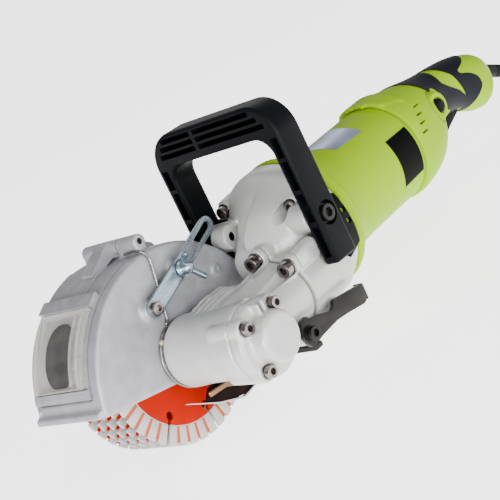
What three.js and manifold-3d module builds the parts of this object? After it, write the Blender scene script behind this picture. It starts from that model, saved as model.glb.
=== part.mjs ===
// Hand-held wall chaser: five diamond blades on one spindle under a swinging cast guard, a two-stage
// gear head, a universal motor in a moulded housing, a bolted-on D-handle and a rear pistol handle.
// Millimetres. +X points forward along the motor, +Y to the gear-case side, +Z up.
import * as THREE from 'three';
import { mergeVertices } from 'three/addons/utils/BufferGeometryUtils.js';
import Module from 'manifold-3d';

const wasm = await Module();
wasm.setup();

// ---------------------------------------------------------------- driving dimensions
// Every place below is measured from the middle of the near blade face, on the spindle axis.
const GAP = 0.3;                 // clearance between pieces that touch
const BLADE_R = 66.5;
const BLADE_PITCH = 11;
const BLADE_COUNT = 5;
const CORE_THICKNESS = 2.2;
const SLOT_COUNT = 8;
const ARBOR_R = 11;              // seat of the blades on the spindle

const MOTOR_Y = 36;              // motor axis, parallel to X
const MOTOR_Z = 23;
const LAY_Y = 60;                // second shaft, parallel to the motor
const LAY_Z = 0;
const GEAR_MODULE = 1.8461;
const ROTOR_TEETH = 12;
const LAY_TEETH = 24;
const BEVEL_PINION_TEETH = 11;
const BEVEL_WHEEL_TEETH = 20;
const BEVEL_MODULE = 1.8;

const GUARD_PITCH = THREE.MathUtils.degToRad(13.9);   // nose-up rest angle of the guard
const GUARD_R = 91.2;
const GUARD_CX = -5.4;           // centre of the guard's rim in the guard's own axes
const GUARD_CZ = -12.6;
const GUARD_CHORD = -18.7;       // its straight lower edge
const GUARD_BACK = -80;          // its straight rear edge
const GUARD_NEAR = 14.3;
const GUARD_FAR = -62.7;
const GUARD_WALL = 2.8;
const DOOR_NEAR = 4.5;           // sides of the window door
const DOOR_FAR = -57.5;
const DOOR_LOW = THREE.MathUtils.degToRad(19);         // ends of the door round the rim, at rest
const DOOR_HIGH = THREE.MathUtils.degToRad(86);
const HINGE_X = -14;
const HINGE_Z = 84.5;
const NECK_R = 22.6;             // spigot of the gear case that carries the guard

const JOINT_X = -62;             // plane where the gear case meets the gear head
const FLANGE_X = -133;           // plane where the motor housing meets the gear head
const FLANGE_R = 56;
const SEAM_X = -258;             // plane where the rear handle meets the motor housing
const CASE_END = 88;
const HANDLE_HALF_WIDTH = 66;
const HANDLE_LEG = 13.5;
const HANDLE_DEPTH = 24;
const HANDLE_BOLT = [-102.6, 40.3];
const HANDLE_LEAN = THREE.MathUtils.degToRad(3);
const LEVER_PIVOT = [-42, -22.5];
const STRAP_Y0 = 20;             // faces of the slotted strap
const STRAP_Y1 = 22.5;
const STRAP_LUG = [-85.5, 46];   // lug behind the strap's path

const CORD_R = 4.5;
const FLOOR_Z = -BLADE_R;        // the blades stand on the floor
const COIL_INNER = 35.5;
const COIL_OUTER = 62.5;
const COIL_X = -604;
const COIL_Y = 94;

// ---------------------------------------------------------------- materials
function material(color, roughness, metalness) {
  return new THREE.MeshStandardMaterial({ color, roughness, metalness });
}
const green = material(0xb9dc22, 0.42, 0);
const black = material(0x222428, 0.55, 0);
const rubber = material(0x1b1d24, 0.75, 0);
const paint = material(0xc7c9c7, 0.4, 0.2);
const casting = material(0xb2b2b8, 0.5, 0.7);
const steel = material(0x8d8f92, 0.3, 1);
const zinc = material(0x9fb0bb, 0.3, 1);
const darkSteel = material(0x46423f, 0.45, 0.9);
const orange = material(0xe4522a, 0.5, 0.1);
const copper = material(0xb87333, 0.4, 1);
const clear = material(0xd8d8d0, 0.1, 0);

// ---------------------------------------------------------------- solids
function signedVolume(vertices, triangles) {
  let sum = 0;
  const corner = [0, 1, 2].map(() => new THREE.Vector3());
  for (let i = 0; i < triangles.length; i += 3) {
    corner.forEach((v, k) => v.fromArray(vertices, triangles[i + k] * 3));
    sum += corner[0].dot(corner[1].clone().cross(corner[2]));
  }
  return sum;
}

// Turns a closed three.js geometry into a solid whose faces point out.
function solid(geometry) {
  const bare = geometry.clone();
  bare.deleteAttribute('normal');
  bare.deleteAttribute('uv');
  const merged = mergeVertices(bare, 1e-4);
  const vertProperties = new Float32Array(merged.attributes.position.array);
  const kept = [];
  const index = merged.index.array;
  for (let i = 0; i < index.length; i += 3) {
    const [a, b, c] = [index[i], index[i + 1], index[i + 2]];
    if (a !== b && b !== c && a !== c) kept.push(a, b, c);
  }
  if (signedVolume(vertProperties, kept) < 0) kept.reverse();
  return new wasm.Manifold(new wasm.Mesh({ numProp: 3, vertProperties, triVerts: new Uint32Array(kept) }));
}

function union(...solids) {
  return solids.reduce((sum, next) => sum.add(next));
}

function cut(body, ...tools) {
  return tools.reduce((rest, tool) => rest.subtract(tool), body);
}

const root = new THREE.Group();

// Adds a finished solid to the model as a named mesh.
function piece(name, body, look, parent = root) {
  const mesh = body.getMesh();
  const geometry = new THREE.BufferGeometry();
  geometry.setAttribute('position', new THREE.BufferAttribute(new Float32Array(mesh.vertProperties), 3));
  geometry.setIndex(new THREE.BufferAttribute(new Uint32Array(mesh.triVerts), 1));
  geometry.computeVertexNormals();
  const result = new THREE.Mesh(geometry, look);
  result.name = name;
  parent.add(result);
  return result;
}

const alongX = new THREE.Matrix4().makeBasis(
  new THREE.Vector3(0, 1, 0), new THREE.Vector3(0, 0, 1), new THREE.Vector3(1, 0, 0));

function box(x0, x1, y0, y1, z0, z1) {
  const geometry = new THREE.BoxGeometry(x1 - x0, y1 - y0, z1 - z0);
  return solid(geometry.translate((x0 + x1) / 2, (y0 + y1) / 2, (z0 + z1) / 2));
}

// Cylinders: the radii r0 and r1 belong to the two ends.
function rodY(r0, r1, y0, y1, x, z, sides = 16) {
  const geometry = new THREE.CylinderGeometry(r1, r0, y1 - y0, sides);
  return solid(geometry.translate(x, (y0 + y1) / 2, z));
}

function rodX(r0, r1, x0, x1, y, z, sides = 16) {
  const geometry = new THREE.CylinderGeometry(r1, r0, x1 - x0, sides).rotateZ(-Math.PI / 2);
  return solid(geometry.translate((x0 + x1) / 2, y, z));
}

// Turned shapes. Points are [distance along the axis, radius]; the ends close on the axis.
function turned(points, sides) {
  const profile = [[points[0][0], 0], ...points, [points.at(-1)[0], 0]];
  return new THREE.LatheGeometry(profile.map(([t, r]) => new THREE.Vector2(r, t)), sides);
}

function turnedX(points, y, z, sides = 24) {
  return solid(turned(points, sides).rotateZ(-Math.PI / 2).translate(0, y, z));
}

function turnedY(points, x, z, sides = 24) {
  return solid(turned(points, sides).translate(x, 0, z));
}

// A flat outline in X and Z, thick from y0 to y1.
function plate(shape, y0, y1, curveSegments = 12) {
  const geometry = new THREE.ExtrudeGeometry(shape, { depth: y1 - y0, bevelEnabled: false, curveSegments });
  return solid(geometry.rotateX(Math.PI / 2).translate(0, y1, 0));
}

// A flat outline in Y and Z, thick from x0 to x1.
function slab(shape, x0, x1, curveSegments = 12) {
  const geometry = new THREE.ExtrudeGeometry(shape, { depth: x1 - x0, bevelEnabled: false, curveSegments });
  return solid(geometry.applyMatrix4(alongX).translate(x0, 0, 0));
}

function outline(points) {
  return new THREE.Shape(points.map(([a, b]) => new THREE.Vector2(a, b)));
}

// A rounded bar between two points of the XZ plane.
function stadium([x0, z0], [x1, z1], r) {
  const shape = new THREE.Shape();
  const along = Math.atan2(z1 - z0, x1 - x0);
  shape.absarc(x0, z0, r, along + Math.PI / 2, along + Math.PI * 1.5, false);
  shape.absarc(x1, z1, r, along - Math.PI / 2, along + Math.PI / 2, false);
  return shape;
}

function sweep(points, section, steps) {
  const path = new THREE.CatmullRomCurve3(points.map((p) => new THREE.Vector3(...p)), false, 'centripetal');
  return solid(new THREE.ExtrudeGeometry(section, { steps, extrudePath: path }));
}

function polygon(r, sides) {
  return outline(Array.from({ length: sides }, (_, i) => {
    const a = (i + 0.5) * 2 * Math.PI / sides;
    return [r * Math.cos(a), r * Math.sin(a)];
  }));
}

// ---------------------------------------------------------------- gears
// Trapezoidal teeth with backlash; `turn` is a fraction of one tooth and `fullness`
// below 1 makes the teeth thinner and lower.
function toothed(teeth, module, turn, fullness = 1) {
  const pitchR = teeth * module / 2;
  const tip = pitchR + 0.75 * module * fullness;
  const root = pitchR - 1.1 * module;
  const flanks = [[root, -0.3 * fullness], [tip, -0.1 * fullness], [tip, 0.1 * fullness], [root, 0.3 * fullness]];
  const points = [];
  for (let i = 0; i < teeth; i += 1) {
    for (const [r, f] of flanks) {
      const a = (i + turn + f) * 2 * Math.PI / teeth;
      points.push([r * Math.cos(a), r * Math.sin(a)]);
    }
  }
  return outline(points);
}

// A bevel gear's teeth shrink towards the apex of its cone; local z runs away from the apex.
function bevelTeeth(teeth, turn, apexDistance, shrink) {
  const depth = apexDistance * (1 - shrink);
  const shape = toothed(teeth, BEVEL_MODULE, turn, 0.76);
  const geometry = new THREE.ExtrudeGeometry(shape, { depth, bevelEnabled: false });
  const place = geometry.attributes.position;
  for (let i = 0; i < place.count; i += 1) {
    const scale = shrink + (1 - shrink) * place.getZ(i) / depth;
    place.setXYZ(i, place.getX(i) * scale, place.getY(i) * scale, place.getZ(i) + apexDistance * shrink);
  }
  return geometry;
}

const rotorPitchR = ROTOR_TEETH * GEAR_MODULE / 2;
const bevelPinionR = BEVEL_PINION_TEETH * BEVEL_MODULE / 2;
const bevelWheelR = BEVEL_WHEEL_TEETH * BEVEL_MODULE / 2;
const BEVEL_SHRINK = 0.72;
const SPUR_X0 = -100;
const SPUR_X1 = -90;

// ---------------------------------------------------------------- spindle group
function makeBlade(index) {
  const y1 = -index * BLADE_PITCH;
  const shape = new THREE.Shape();
  const slotHalf = 0.024;
  const slotDepth = 16;
  for (let i = 0; i < SLOT_COUNT; i += 1) {
    const a = (i + 0.07) * 2 * Math.PI / SLOT_COUNT;
    const next = a + 2 * Math.PI / SLOT_COUNT;
    const floor = [(BLADE_R - slotDepth) * Math.cos(a), (BLADE_R - slotDepth) * Math.sin(a)];
    if (i === 0) shape.moveTo(...floor);
    else shape.lineTo(...floor);
    shape.absarc(0, 0, BLADE_R, a + slotHalf, next - slotHalf, false);
  }
  return cut(plate(shape, y1 - CORE_THICKNESS, y1, 3), rodY(ARBOR_R + GAP, ARBOR_R + GAP, -100, 10, 0, 0, 20));
}

function ringY(inner, outer, y0, y1, sides = 20) {
  return cut(rodY(outer, outer, y0, y1, 0, 0, sides), rodY(inner, inner, y0 - 1, y1 + 1, 0, 0, sides));
}

function ringX(inner, outer, x0, x1, y, z, sides = 20) {
  return cut(rodX(outer, outer, x0, x1, y, z, sides), rodX(inner, inner, x0 - 1, x1 + 1, y, z, sides));
}

const lastBlade = -(BLADE_COUNT - 1) * BLADE_PITCH - CORE_THICKNESS;
const BEARING_Y0 = 22;
const BEARING_Y1 = 34;
const wheelY = LAY_Y + bevelPinionR;
const END_BEARING_Y0 = 100;

for (let i = 0; i < BLADE_COUNT; i += 1) piece(`blade_${i + 1}`, makeBlade(i), orange);
for (let i = 0; i < BLADE_COUNT - 1; i += 1) {
  const y1 = -i * BLADE_PITCH - CORE_THICKNESS - GAP;
  const y0 = -(i + 1) * BLADE_PITCH + GAP;
  piece(`blade_spacer_${i + 1}`, ringY(ARBOR_R + GAP, 19, y0, y1), steel);
}
piece('inner_flange', ringY(ARBOR_R + GAP, 21, GAP, 5.2), steel);
piece('outer_flange', ringY(ARBOR_R + GAP, 19, lastBlade - GAP - 4, lastBlade - GAP), steel);
piece('spindle', turnedY([
  [-59, 7], [-53, 7], [-53, ARBOR_R], [5.5, ARBOR_R], [5.5, 12], [BEARING_Y0 - GAP, 12],
  [BEARING_Y0 - GAP, 8.2], [96, 8.2], [96, 4.7], [109, 4.7]], 0, 0, 24), steel);
piece('spindle_nut', cut(rodY(11.5, 11.5, -58.5, lastBlade - 4 - 2 * GAP, 0, 0, 6),
  rodY(7 + GAP, 7 + GAP, -60, -50, 0, 0)
    .add(rodY(ARBOR_R + GAP, ARBOR_R + GAP, -53 - GAP, -40, 0, 0))), steel);
piece('spindle_bearing_inner', ringY(8.5, 19.8, BEARING_Y0, BEARING_Y1), steel);
piece('spindle_bearing_outer', ringY(5, 12.8, END_BEARING_Y0, END_BEARING_Y0 + 8, 24), steel);
const wheelTeeth = solid(bevelTeeth(BEVEL_WHEEL_TEETH, 0, bevelPinionR, BEVEL_SHRINK)
  .rotateX(-Math.PI / 2).translate(0, LAY_Y, 0));
piece('spindle_bevel_gear', cut(
  wheelTeeth.add(rodY(bevelWheelR - 2.2, bevelWheelR - 3, wheelY - 0.2, wheelY + 4.5, 0, 0, 26))
    .add(rodY(13, 13, wheelY + 4.4, wheelY + 9, 0, 0)),
  rodY(8.5, 8.5, 50, 99, 0, 0)), steel);

// ---------------------------------------------------------------- second shaft
const pinionBody = solid(bevelTeeth(BEVEL_PINION_TEETH, 0, bevelWheelR, BEVEL_SHRINK)
  .applyMatrix4(alongX).rotateZ(Math.PI).translate(0, LAY_Y, LAY_Z));
piece('layshaft', union(pinionBody,
  turnedX([[-113, 4.7], [-104, 4.7], [-104, 7], [-bevelWheelR - 16, 7], [-bevelWheelR - 16, 5.7],
    [-bevelWheelR - 4, 5.7], [-bevelWheelR - 4, 8], [-bevelWheelR + 0.5, 8]], LAY_Y, LAY_Z, 20)), steel);
piece('layshaft_gear', cut(slab(toothed(LAY_TEETH, GEAR_MODULE, 0), SPUR_X0, SPUR_X1)
  .rotate([THREE.MathUtils.radToDeg(Math.atan2(MOTOR_Z - LAY_Z, MOTOR_Y - LAY_Y)), 0, 0])
  .translate([0, LAY_Y, LAY_Z]), rodX(7.3, 7.3, -120, -80, LAY_Y, LAY_Z, 20)), steel);
piece('layshaft_bearing_front', ringX(6, 15.8, -bevelWheelR - 15.5, -bevelWheelR - 5.5, LAY_Y, LAY_Z), steel);
piece('layshaft_bearing_rear', ringX(5, 12.8, -112.5, -104.5, LAY_Y, LAY_Z), steel);

// ---------------------------------------------------------------- motor inside
const rotorPinion = slab(toothed(ROTOR_TEETH, GEAR_MODULE, 0.5), SPUR_X0 - 1, SPUR_X1 + 1)
  .rotate([THREE.MathUtils.radToDeg(Math.atan2(LAY_Z - MOTOR_Z, LAY_Y - MOTOR_Y)), 0, 0])
  .translate([0, MOTOR_Y, MOTOR_Z]);
piece('rotor_shaft', rotorPinion.add(turnedX([[-256, 3.7], [-248, 3.7], [-248, 5.5], [-123, 5.5], [-123, 7.2],
  [-111, 7.2], [-111, 8], [-100.5, 8]], MOTOR_Y, MOTOR_Z, 20)), steel);
piece('front_motor_bearing', ringX(7.5, 17.2, -122, -111.5, MOTOR_Y, MOTOR_Z), steel);
piece('rear_motor_bearing', ringX(4, 10.8, -255.5, -248.5, MOTOR_Y, MOTOR_Z, 24), steel);
piece('rotor_core', ringX(5.8, 24, -215, -163, MOTOR_Y, MOTOR_Z), darkSteel);
piece('commutator', ringX(5.8, 13, -245, -226, MOTOR_Y, MOTOR_Z, 24), copper);
const FAN_BLADES = 8;
let fan = ringX(5.8, 13, -152, -139, MOTOR_Y, MOTOR_Z, 20).add(ringX(12, 35, -141, -139, MOTOR_Y, MOTOR_Z));
for (let i = 0; i < FAN_BLADES; i += 1) {
  fan = fan.add(box(-151, -140, -0.8, 0.8, 15, 34).rotate([i * 360 / FAN_BLADES, 0, 0])
    .translate([0, MOTOR_Y, MOTOR_Z]));
}
piece('fan', fan, black);
piece('stator', ringX(25, 38.6, -214, -164, MOTOR_Y, MOTOR_Z, 28), darkSteel);

// ---------------------------------------------------------------- gear head and gear case
const boltCircleR = 32;
function aroundLayshaft(degrees) {
  const a = THREE.MathUtils.degToRad(degrees);
  return [LAY_Y + boltCircleR * Math.cos(a), LAY_Z + boltCircleR * Math.sin(a)];
}
const caseBolts = [98, 44];
const caseEars = [98, 44, -62, 212];
const EAR = 6;
const HEAD_BOSS_R = 13;
const innerLeg = HANDLE_HALF_WIDTH - HANDLE_LEG - GAP;
const handleScrewR = 3.2;
const flangeScrews = [[-110, MOTOR_Y - 40.5, MOTOR_Z + 34.5], [-106, MOTOR_Y + 27, MOTOR_Z + 25]];

function makeGearHead() {
  const bell = turnedX([[FLANGE_X, FLANGE_R], [-117.5, FLANGE_R - 0.5], [-115.5, 52], [-108, 41.5], [-96, 37.5],
    [-82, 36], [-74, 31], [-70, 22]], MOTOR_Y, MOTOR_Z, 28);
  const lobe = rodX(28.4, 28, -116, JOINT_X - EAR - 0.2, LAY_Y, LAY_Z, 20);
  const ears = caseEars.map((a) => rodX(7.5, 7, -80, JOINT_X - EAR - 0.2, ...aroundLayshaft(a), 12));
  const legBosses = rodY(HEAD_BOSS_R, HEAD_BOSS_R, MOTOR_Y - innerLeg, MOTOR_Y + innerLeg, ...HANDLE_BOLT, 20);
  const strapLug = rodY(9, 9, 5, STRAP_Y0 - GAP, ...STRAP_LUG, 16)
    .add(box(-100, STRAP_LUG[0], 5, STRAP_Y0 - GAP, STRAP_LUG[1] - 9, STRAP_LUG[1] + 7));
  const [screwX, screwY, screwZ] = flangeScrews[0];
  const lug = rodX(8, 8, FLANGE_X, screwX - 4, screwY, screwZ, 16);
  const wide = union(bell, lobe, ...ears, legBosses, lug)
    .subtract(box(-97, 0, -60, 17.5, -60, 100))
    .subtract(box(-97, 0, 17, STRAP_Y1 + GAP, 36, 100));
  const pinionRoom = rodX(14.5, 14.5, -111, -86, MOTOR_Y, MOTOR_Z, 20);
  const gearRoom = rodX(25, 25, -103.5, 0, LAY_Y, LAY_Z, 18);
  const bearingSeats = rodX(13.2, 13.2, -113, -103, LAY_Y, LAY_Z, 16)
    .add(rodX(17.6, 17.6, -122.4, -110, MOTOR_Y, MOTOR_Z, 20));
  const mouth = turnedX([[-140, 47], [-126, 47], [-122, 24]], MOTOR_Y, MOTOR_Z, 20);
  const handleBores = rodY(handleScrewR + GAP, handleScrewR + GAP, MOTOR_Y + innerLeg - 16, 200, ...HANDLE_BOLT, 16)
    .add(rodY(handleScrewR + GAP, handleScrewR + GAP, -100, MOTOR_Y - innerLeg + 16, ...HANDLE_BOLT, 16));
  const strapBore = rodY(3, 3, 0, 30, ...STRAP_LUG, 10);
  const screwBores = flangeScrews.map(([x, y, z]) => rodX(2.9, 2.9, x - 9, x + 60, y, z, 8)
    .add(rodX(5.6, 5.6, x - 3, x + 60, y, z, 10)));
  const boltBores = caseBolts.map((a) => rodX(3.4, 3.4, -79, 0, ...aroundLayshaft(a), 6));
  return cut(wide.add(strapLug), pinionRoom, gearRoom, bearingSeats, mouth, handleBores, strapBore,
    ...screwBores, ...boltBores);
}
piece('gear_head', makeGearHead(), paint);

const coverScrews = [[16.8, -17], [16.8, 16.6], [-15.6, 17.6]];
function makeGearCase() {
  const x1 = JOINT_X - EAR + GAP;
  const tube = turnedY([[17.2, 25.6], [20, 26.4], [36, 25.2], [60, 25], [78, 27.6], [CASE_END, 28]], 0, 0, 22)
    .add(rodY(NECK_R, NECK_R, 7.5, 18, 0, 0, 22));
  const arm = rodX(27.5, 25.5, x1, -18, LAY_Y, LAY_Z, 20).add(rodX(25.5, 20, -18.2, 4, LAY_Y, LAY_Z, 20));
  const shoulder = plate(outline([[-46, 22], [-20, 25], [6, 24], [-6, 10], [-46, 4]]), 34, 60);
  const ears = caseEars.map((a) => rodX(7, 7, x1, JOINT_X, ...aroundLayshaft(a), 12)
    .add(rodX(7, 3, JOINT_X - 0.1, JOINT_X + 16, LAY_Y + 23 * Math.cos(a * Math.PI / 180),
      LAY_Z + 23 * Math.sin(a * Math.PI / 180), 12)));
  const leverLug = rodY(8, 8, 66, 88, ...LEVER_PIVOT, 10);
  const screwLugs = coverScrews.map(([x, z]) => rodY(6, 6.6, 74, CASE_END, x, z, 10));
  const body = union(tube, arm, shoulder, ...ears, leverLug, ...screwLugs);
  const bore = turnedY([[0, 12.6], [BEARING_Y0 - 0.4, 12.6], [BEARING_Y0 - 0.4, 20.2], [CASE_END + 5, 20.2]],
    0, 0, 20).add(rodY(21, 21, 64, CASE_END + 5, 0, 0, 20));
  const armBore = rodX(21.5, 21.5, -90, -44, LAY_Y, LAY_Z, 16)
    .add(rodX(16.2, 16.2, -50, 0, LAY_Y, LAY_Z, 16));
  const boltBores = caseBolts.map((a) => rodX(3.4, 3.4, -90, 0, ...aroundLayshaft(a), 6)
    .add(rodX(6.4, 6.4, JOINT_X - GAP, 0, ...aroundLayshaft(a), 10)));
  const screwBores = coverScrews.map(([x, z]) => rodY(2.5, 2.5, 78, 200, x, z, 6));
  const leverBore = rodY(3, 3, 70, 200, ...LEVER_PIVOT, 8);
  return cut(body, bore, armBore, leverBore, ...boltBores, ...screwBores);
}
piece('gear_case', makeGearCase(), paint);

const COVER_Y1 = 99;
function makeCover() {
  const y0 = CASE_END + GAP;
  const disc = turnedY([[y0, 27.8], [COVER_Y1 - 2.5, 27.5], [COVER_Y1, 25], [COVER_Y1, 17.5], [111, 16], [112.5, 14]],
    0, 0, 22);
  const lugs = coverScrews.map(([x, z]) => rodY(6.6, 6.4, y0, COVER_Y1 + 0.5, x, z, 10));
  const room = turnedY([[0, 21], [94, 21], [94, 13.1], [END_BEARING_Y0 + 8.3, 13.1], [END_BEARING_Y0 + 8.3, 7],
    [110, 7]], 0, 0, 16);
  const bores = coverScrews.map(([x, z]) => rodY(2.5, 2.5, 50, 200, x, z, 6));
  return cut(union(disc, ...lugs), room, ...bores);
}
piece('case_cover', makeCover(), paint);

function socketScrewY(x, z, y0, y1, shankR, headR, headHeight) {
  return cut(rodY(shankR, shankR, y0, y1 + 0.1, x, z, 6).add(rodY(headR, headR, y1, y1 + headHeight, x, z, 12)),
    rodY(headR * 0.5, headR * 0.5, y1 + headHeight * 0.45, y1 + headHeight + 1, x, z, 6));
}
coverScrews.forEach(([x, z], i) => {
  piece(`cover_screw_${i + 1}`, socketScrewY(x, z, 80, COVER_Y1 + 0.8, 2.1, 4.4, 4.2), darkSteel);
});
piece('lever_bolt', socketScrewY(...LEVER_PIVOT, 74, 92, 2.6, 5, 4.5), darkSteel);
caseBolts.forEach((a, i) => {
  const [y, z] = aroundLayshaft(a);
  const bolt = cut(rodX(2.7, 2.7, -76, JOINT_X + 0.2, y, z, 6).add(rodX(5.8, 5.8, JOINT_X, JOINT_X + 7, y, z, 12)),
    rodX(2.8, 2.8, JOINT_X + 3.5, 0, y, z, 6));
  piece(`case_bolt_${i + 1}`, bolt, darkSteel);
});
const [screwX, screwY, screwZ] = flangeScrews[0];
piece('flange_screw', cut(rodX(2.6, 2.6, screwX - 8, screwX - 2, screwY, screwZ, 8)
  .add(rodX(5, 4, screwX - 2.6, screwX + 1.6, screwY, screwZ, 12)),
rodX(1.8, 1.8, screwX - 0.5, screwX + 5, screwY, screwZ, 6)), steel);

// ---------------------------------------------------------------- D-handle
// Drawn in Y and Z, the lean is added afterwards about the bolt.
const HANDLE_LOW = 8 - HANDLE_BOLT[1];
const HANDLE_TOP = 133 - HANDLE_BOLT[1];
const HANDLE_BAR = 25;
function makeDHandle() {
  const outer = new THREE.Shape();
  const w = HANDLE_HALF_WIDTH;
  const corner = 26;
  outer.moveTo(-w, HANDLE_LOW);
  outer.lineTo(-w, HANDLE_TOP - corner);
  outer.absarc(-w + corner, HANDLE_TOP - corner, corner, Math.PI, Math.PI / 2, true);
  outer.absarc(w - corner, HANDLE_TOP - corner, corner, Math.PI / 2, 0, true);
  outer.lineTo(w, HANDLE_LOW);
  outer.lineTo(w - HANDLE_LEG, HANDLE_LOW);
  const inner = w - HANDLE_LEG;
  const barLow = HANDLE_TOP - HANDLE_BAR;
  const bend = 14;
  outer.absarc(inner - bend, barLow - bend, bend, 0, Math.PI / 2, false);
  outer.absarc(-inner + bend, barLow - bend, bend, Math.PI / 2, Math.PI, false);
  outer.lineTo(-inner, HANDLE_LOW);
  const frame = slab(outer, -HANDLE_DEPTH / 2, HANDLE_DEPTH / 2, 3);
  const bore = rodY(3.5, 3.5, -100, 100, 0, 0, 12);
  const recess = [-1, 1].map((side) => rodY(8, 8, Math.min(side * w, side * (w - 4)), Math.max(side * w,
    side * (w - 4)) + 0.01, 0, 0, 16));
  return cut(frame, bore, ...recess).rotate([0, -THREE.MathUtils.radToDeg(HANDLE_LEAN), 0])
    .translate([HANDLE_BOLT[0], MOTOR_Y, HANDLE_BOLT[1]]);
}
piece('d_handle', makeDHandle(), black);
for (const [name, side] of [['handle_bolt_left', 1], ['handle_bolt_right', -1]]) {
  const reach = innerLeg - 14;
  const seat = HANDLE_HALF_WIDTH - 4 + GAP;
  const bolt = cut(rodY(2.9, 2.9, reach, seat + 0.1, 0, 0, 12).add(rodY(6.4, 6, seat, seat + 6, 0, 0, 20)),
    rodY(3.2, 3.2, seat + 3, seat + 8, 0, 0, 6));
  piece(name, bolt.rotate([0, 0, side > 0 ? 0 : 180]).translate([HANDLE_BOLT[0], MOTOR_Y, HANDLE_BOLT[1]]), darkSteel);
}

// ---------------------------------------------------------------- motor housing
function makeMotorHousing() {
  const x1 = FLANGE_X - GAP;
  const shell = turnedX([[SEAM_X + GAP, 42.6], [-190, 42.4], [-165, 44], [-152, 47], [-143, 52], [-141, FLANGE_R],
    [x1, FLANGE_R]], MOTOR_Y, MOTOR_Z, 28);
  const lugs = [45, 139, 221, -45].map((a) => {
    const t = THREE.MathUtils.degToRad(a);
    return rodX(4, 8, -150, x1, MOTOR_Y + 52 * Math.cos(t), MOTOR_Z + 52 * Math.sin(t), 8);
  });
  const room = turnedX([[SEAM_X + 8, 36.5], [-223, 39], [-130, 39]], MOTOR_Y, MOTOR_Z, 28);
  const seat = rodX(11.1, 11.1, SEAM_X - 1, SEAM_X + 10, MOTOR_Y, MOTOR_Z, 20);
  const airways = [0, 90, 180, 270].map((a) => rodX(7, 7, SEAM_X - 1, SEAM_X + 10, 0, 25, 6)
    .rotate([a, 0, 0]).translate([0, MOTOR_Y, MOTOR_Z]));
  const screwBore = rodX(2.9, 2.9, screwX - 9, 0, screwY, screwZ, 12);
  return cut(union(shell, ...lugs), room, seat, screwBore, ...airways);
}
piece('motor_housing', makeMotorHousing(), green);

// ---------------------------------------------------------------- rear handle
const TRIGGER = [-370, -322];
const BULB = [-403, MOTOR_Y, 19.5];
const LOCK = [-312, 33.5];
const reliefTilt = THREE.MathUtils.degToRad(24);
const reliefStart = [-424.5, MOTOR_Y, 23];

function grip(extra) {
  const profile = [[-52, 20 + extra], [-30, 21.4 + extra], [10, 22.6 + extra], [45, 25 + extra]];
  const geometry = turned(profile, 16).scale(1, 1, 0.84).rotateZ(-Math.PI / 2);
  return solid(geometry.rotateY(-THREE.MathUtils.degToRad(-9)).translate(-362, MOTOR_Y, 32));
}

function rearShape(extra) {
  const barrel = turnedX([[-345, 20 + extra], [-330, 29 + extra], [-312, 36.5 + extra], [-292, 41.5 + extra],
    [-262, 45.4 + extra], [SEAM_X, 45.4 + extra]], MOTOR_Y, MOTOR_Z, 18);
  const bulb = solid(new THREE.SphereGeometry(1, 14, 9).scale(28 + extra, 21.5 + extra, 27 + extra)
    .translate(...BULB));
  return union(barrel, bulb);
}

function makeRearHandle() {
  const outside = union(rearShape(0), grip(-1.8));
  const inside = union(rearShape(-3), grip(-4.6));
  const lockBoss = rodY(11, 9.5, 40, 66, ...LOCK, 12);
  const skirt = plate(outline([[-350, 14], [-346, 4], [-320, -3], [-312, 0], [-312, 20], [-350, 20]]),
    MOTOR_Y - 14, MOTOR_Y + 14);
  const shell = union(outside, lockBoss, skirt);
  const triggerSlot = box(TRIGGER[0] - 2, TRIGGER[1] + 2, MOTOR_Y - 8.6, MOTOR_Y + 8.6, -20, 24);
  const lockBore = rodY(6.2, 6.2, 30, 80, ...LOCK, 14);
  const reliefBore = rodX(6.8, 6.8, -30, 40, 0, 0, 14).rotate([0, -24, 0]).translate(reliefStart);
  const hollow = cut(shell, inside, triggerSlot, lockBore, reliefBore);
  const half = (side) => box(-500, SEAM_X, side > 0 ? MOTOR_Y + GAP / 2 : -100, side > 0 ? 200 : MOTOR_Y - GAP / 2,
    -100, 200);
  return [hollow.intersect(half(1)), hollow.intersect(half(-1))];
}
const [leftHalf, rightHalf] = makeRearHandle();
piece('rear_handle_left', leftHalf, green);
piece('rear_handle_right', rightHalf, green);

function makeGripSleeve() {
  const zone = plate(outline([[-396, 60], [-332, 70], [-336, 30], [-352, 18], [-352, 0], [-372, -5], [-384, 20]]),
    0, 80);
  const room = union(rearShape(GAP), grip(-1.8 + GAP));
  const lockRoom = rodY(12, 12, 20, 90, ...LOCK, 10);
  const slot = box(TRIGGER[0] - 3, TRIGGER[1] + 3, MOTOR_Y - 9, MOTOR_Y + 9, -20, 24);
  const skirtRoom = box(-351, -300, MOTOR_Y - 15, MOTOR_Y + 15, -20, 20.5);
  const sleeve = cut(grip(0).intersect(zone), room, lockRoom, slot, skirtRoom);
  return sleeve.decompose().sort((a, b) => b.volume() - a.volume())[0];
}
piece('grip_sleeve', makeGripSleeve(), rubber);

const triggerOutline = outline([[-368, 13], [-366, 8.5], [-345, 2], [-331, -5.5], [-324.5, -4], [-324, 12],
  [-334, 18], [-364, 18]]);
piece('trigger', plate(triggerOutline, MOTOR_Y - 8, MOTOR_Y + 8), black);
piece('switch_body', box(-358, -322, MOTOR_Y - 9, MOTOR_Y + 9, 25, 42), black);
piece('lock_button', rodY(5.8, 5.8, 54, 66.5, ...LOCK, 14).add(rodY(5.8, 4.8, 66.4, 69.5, ...LOCK, 14)), black);

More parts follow.
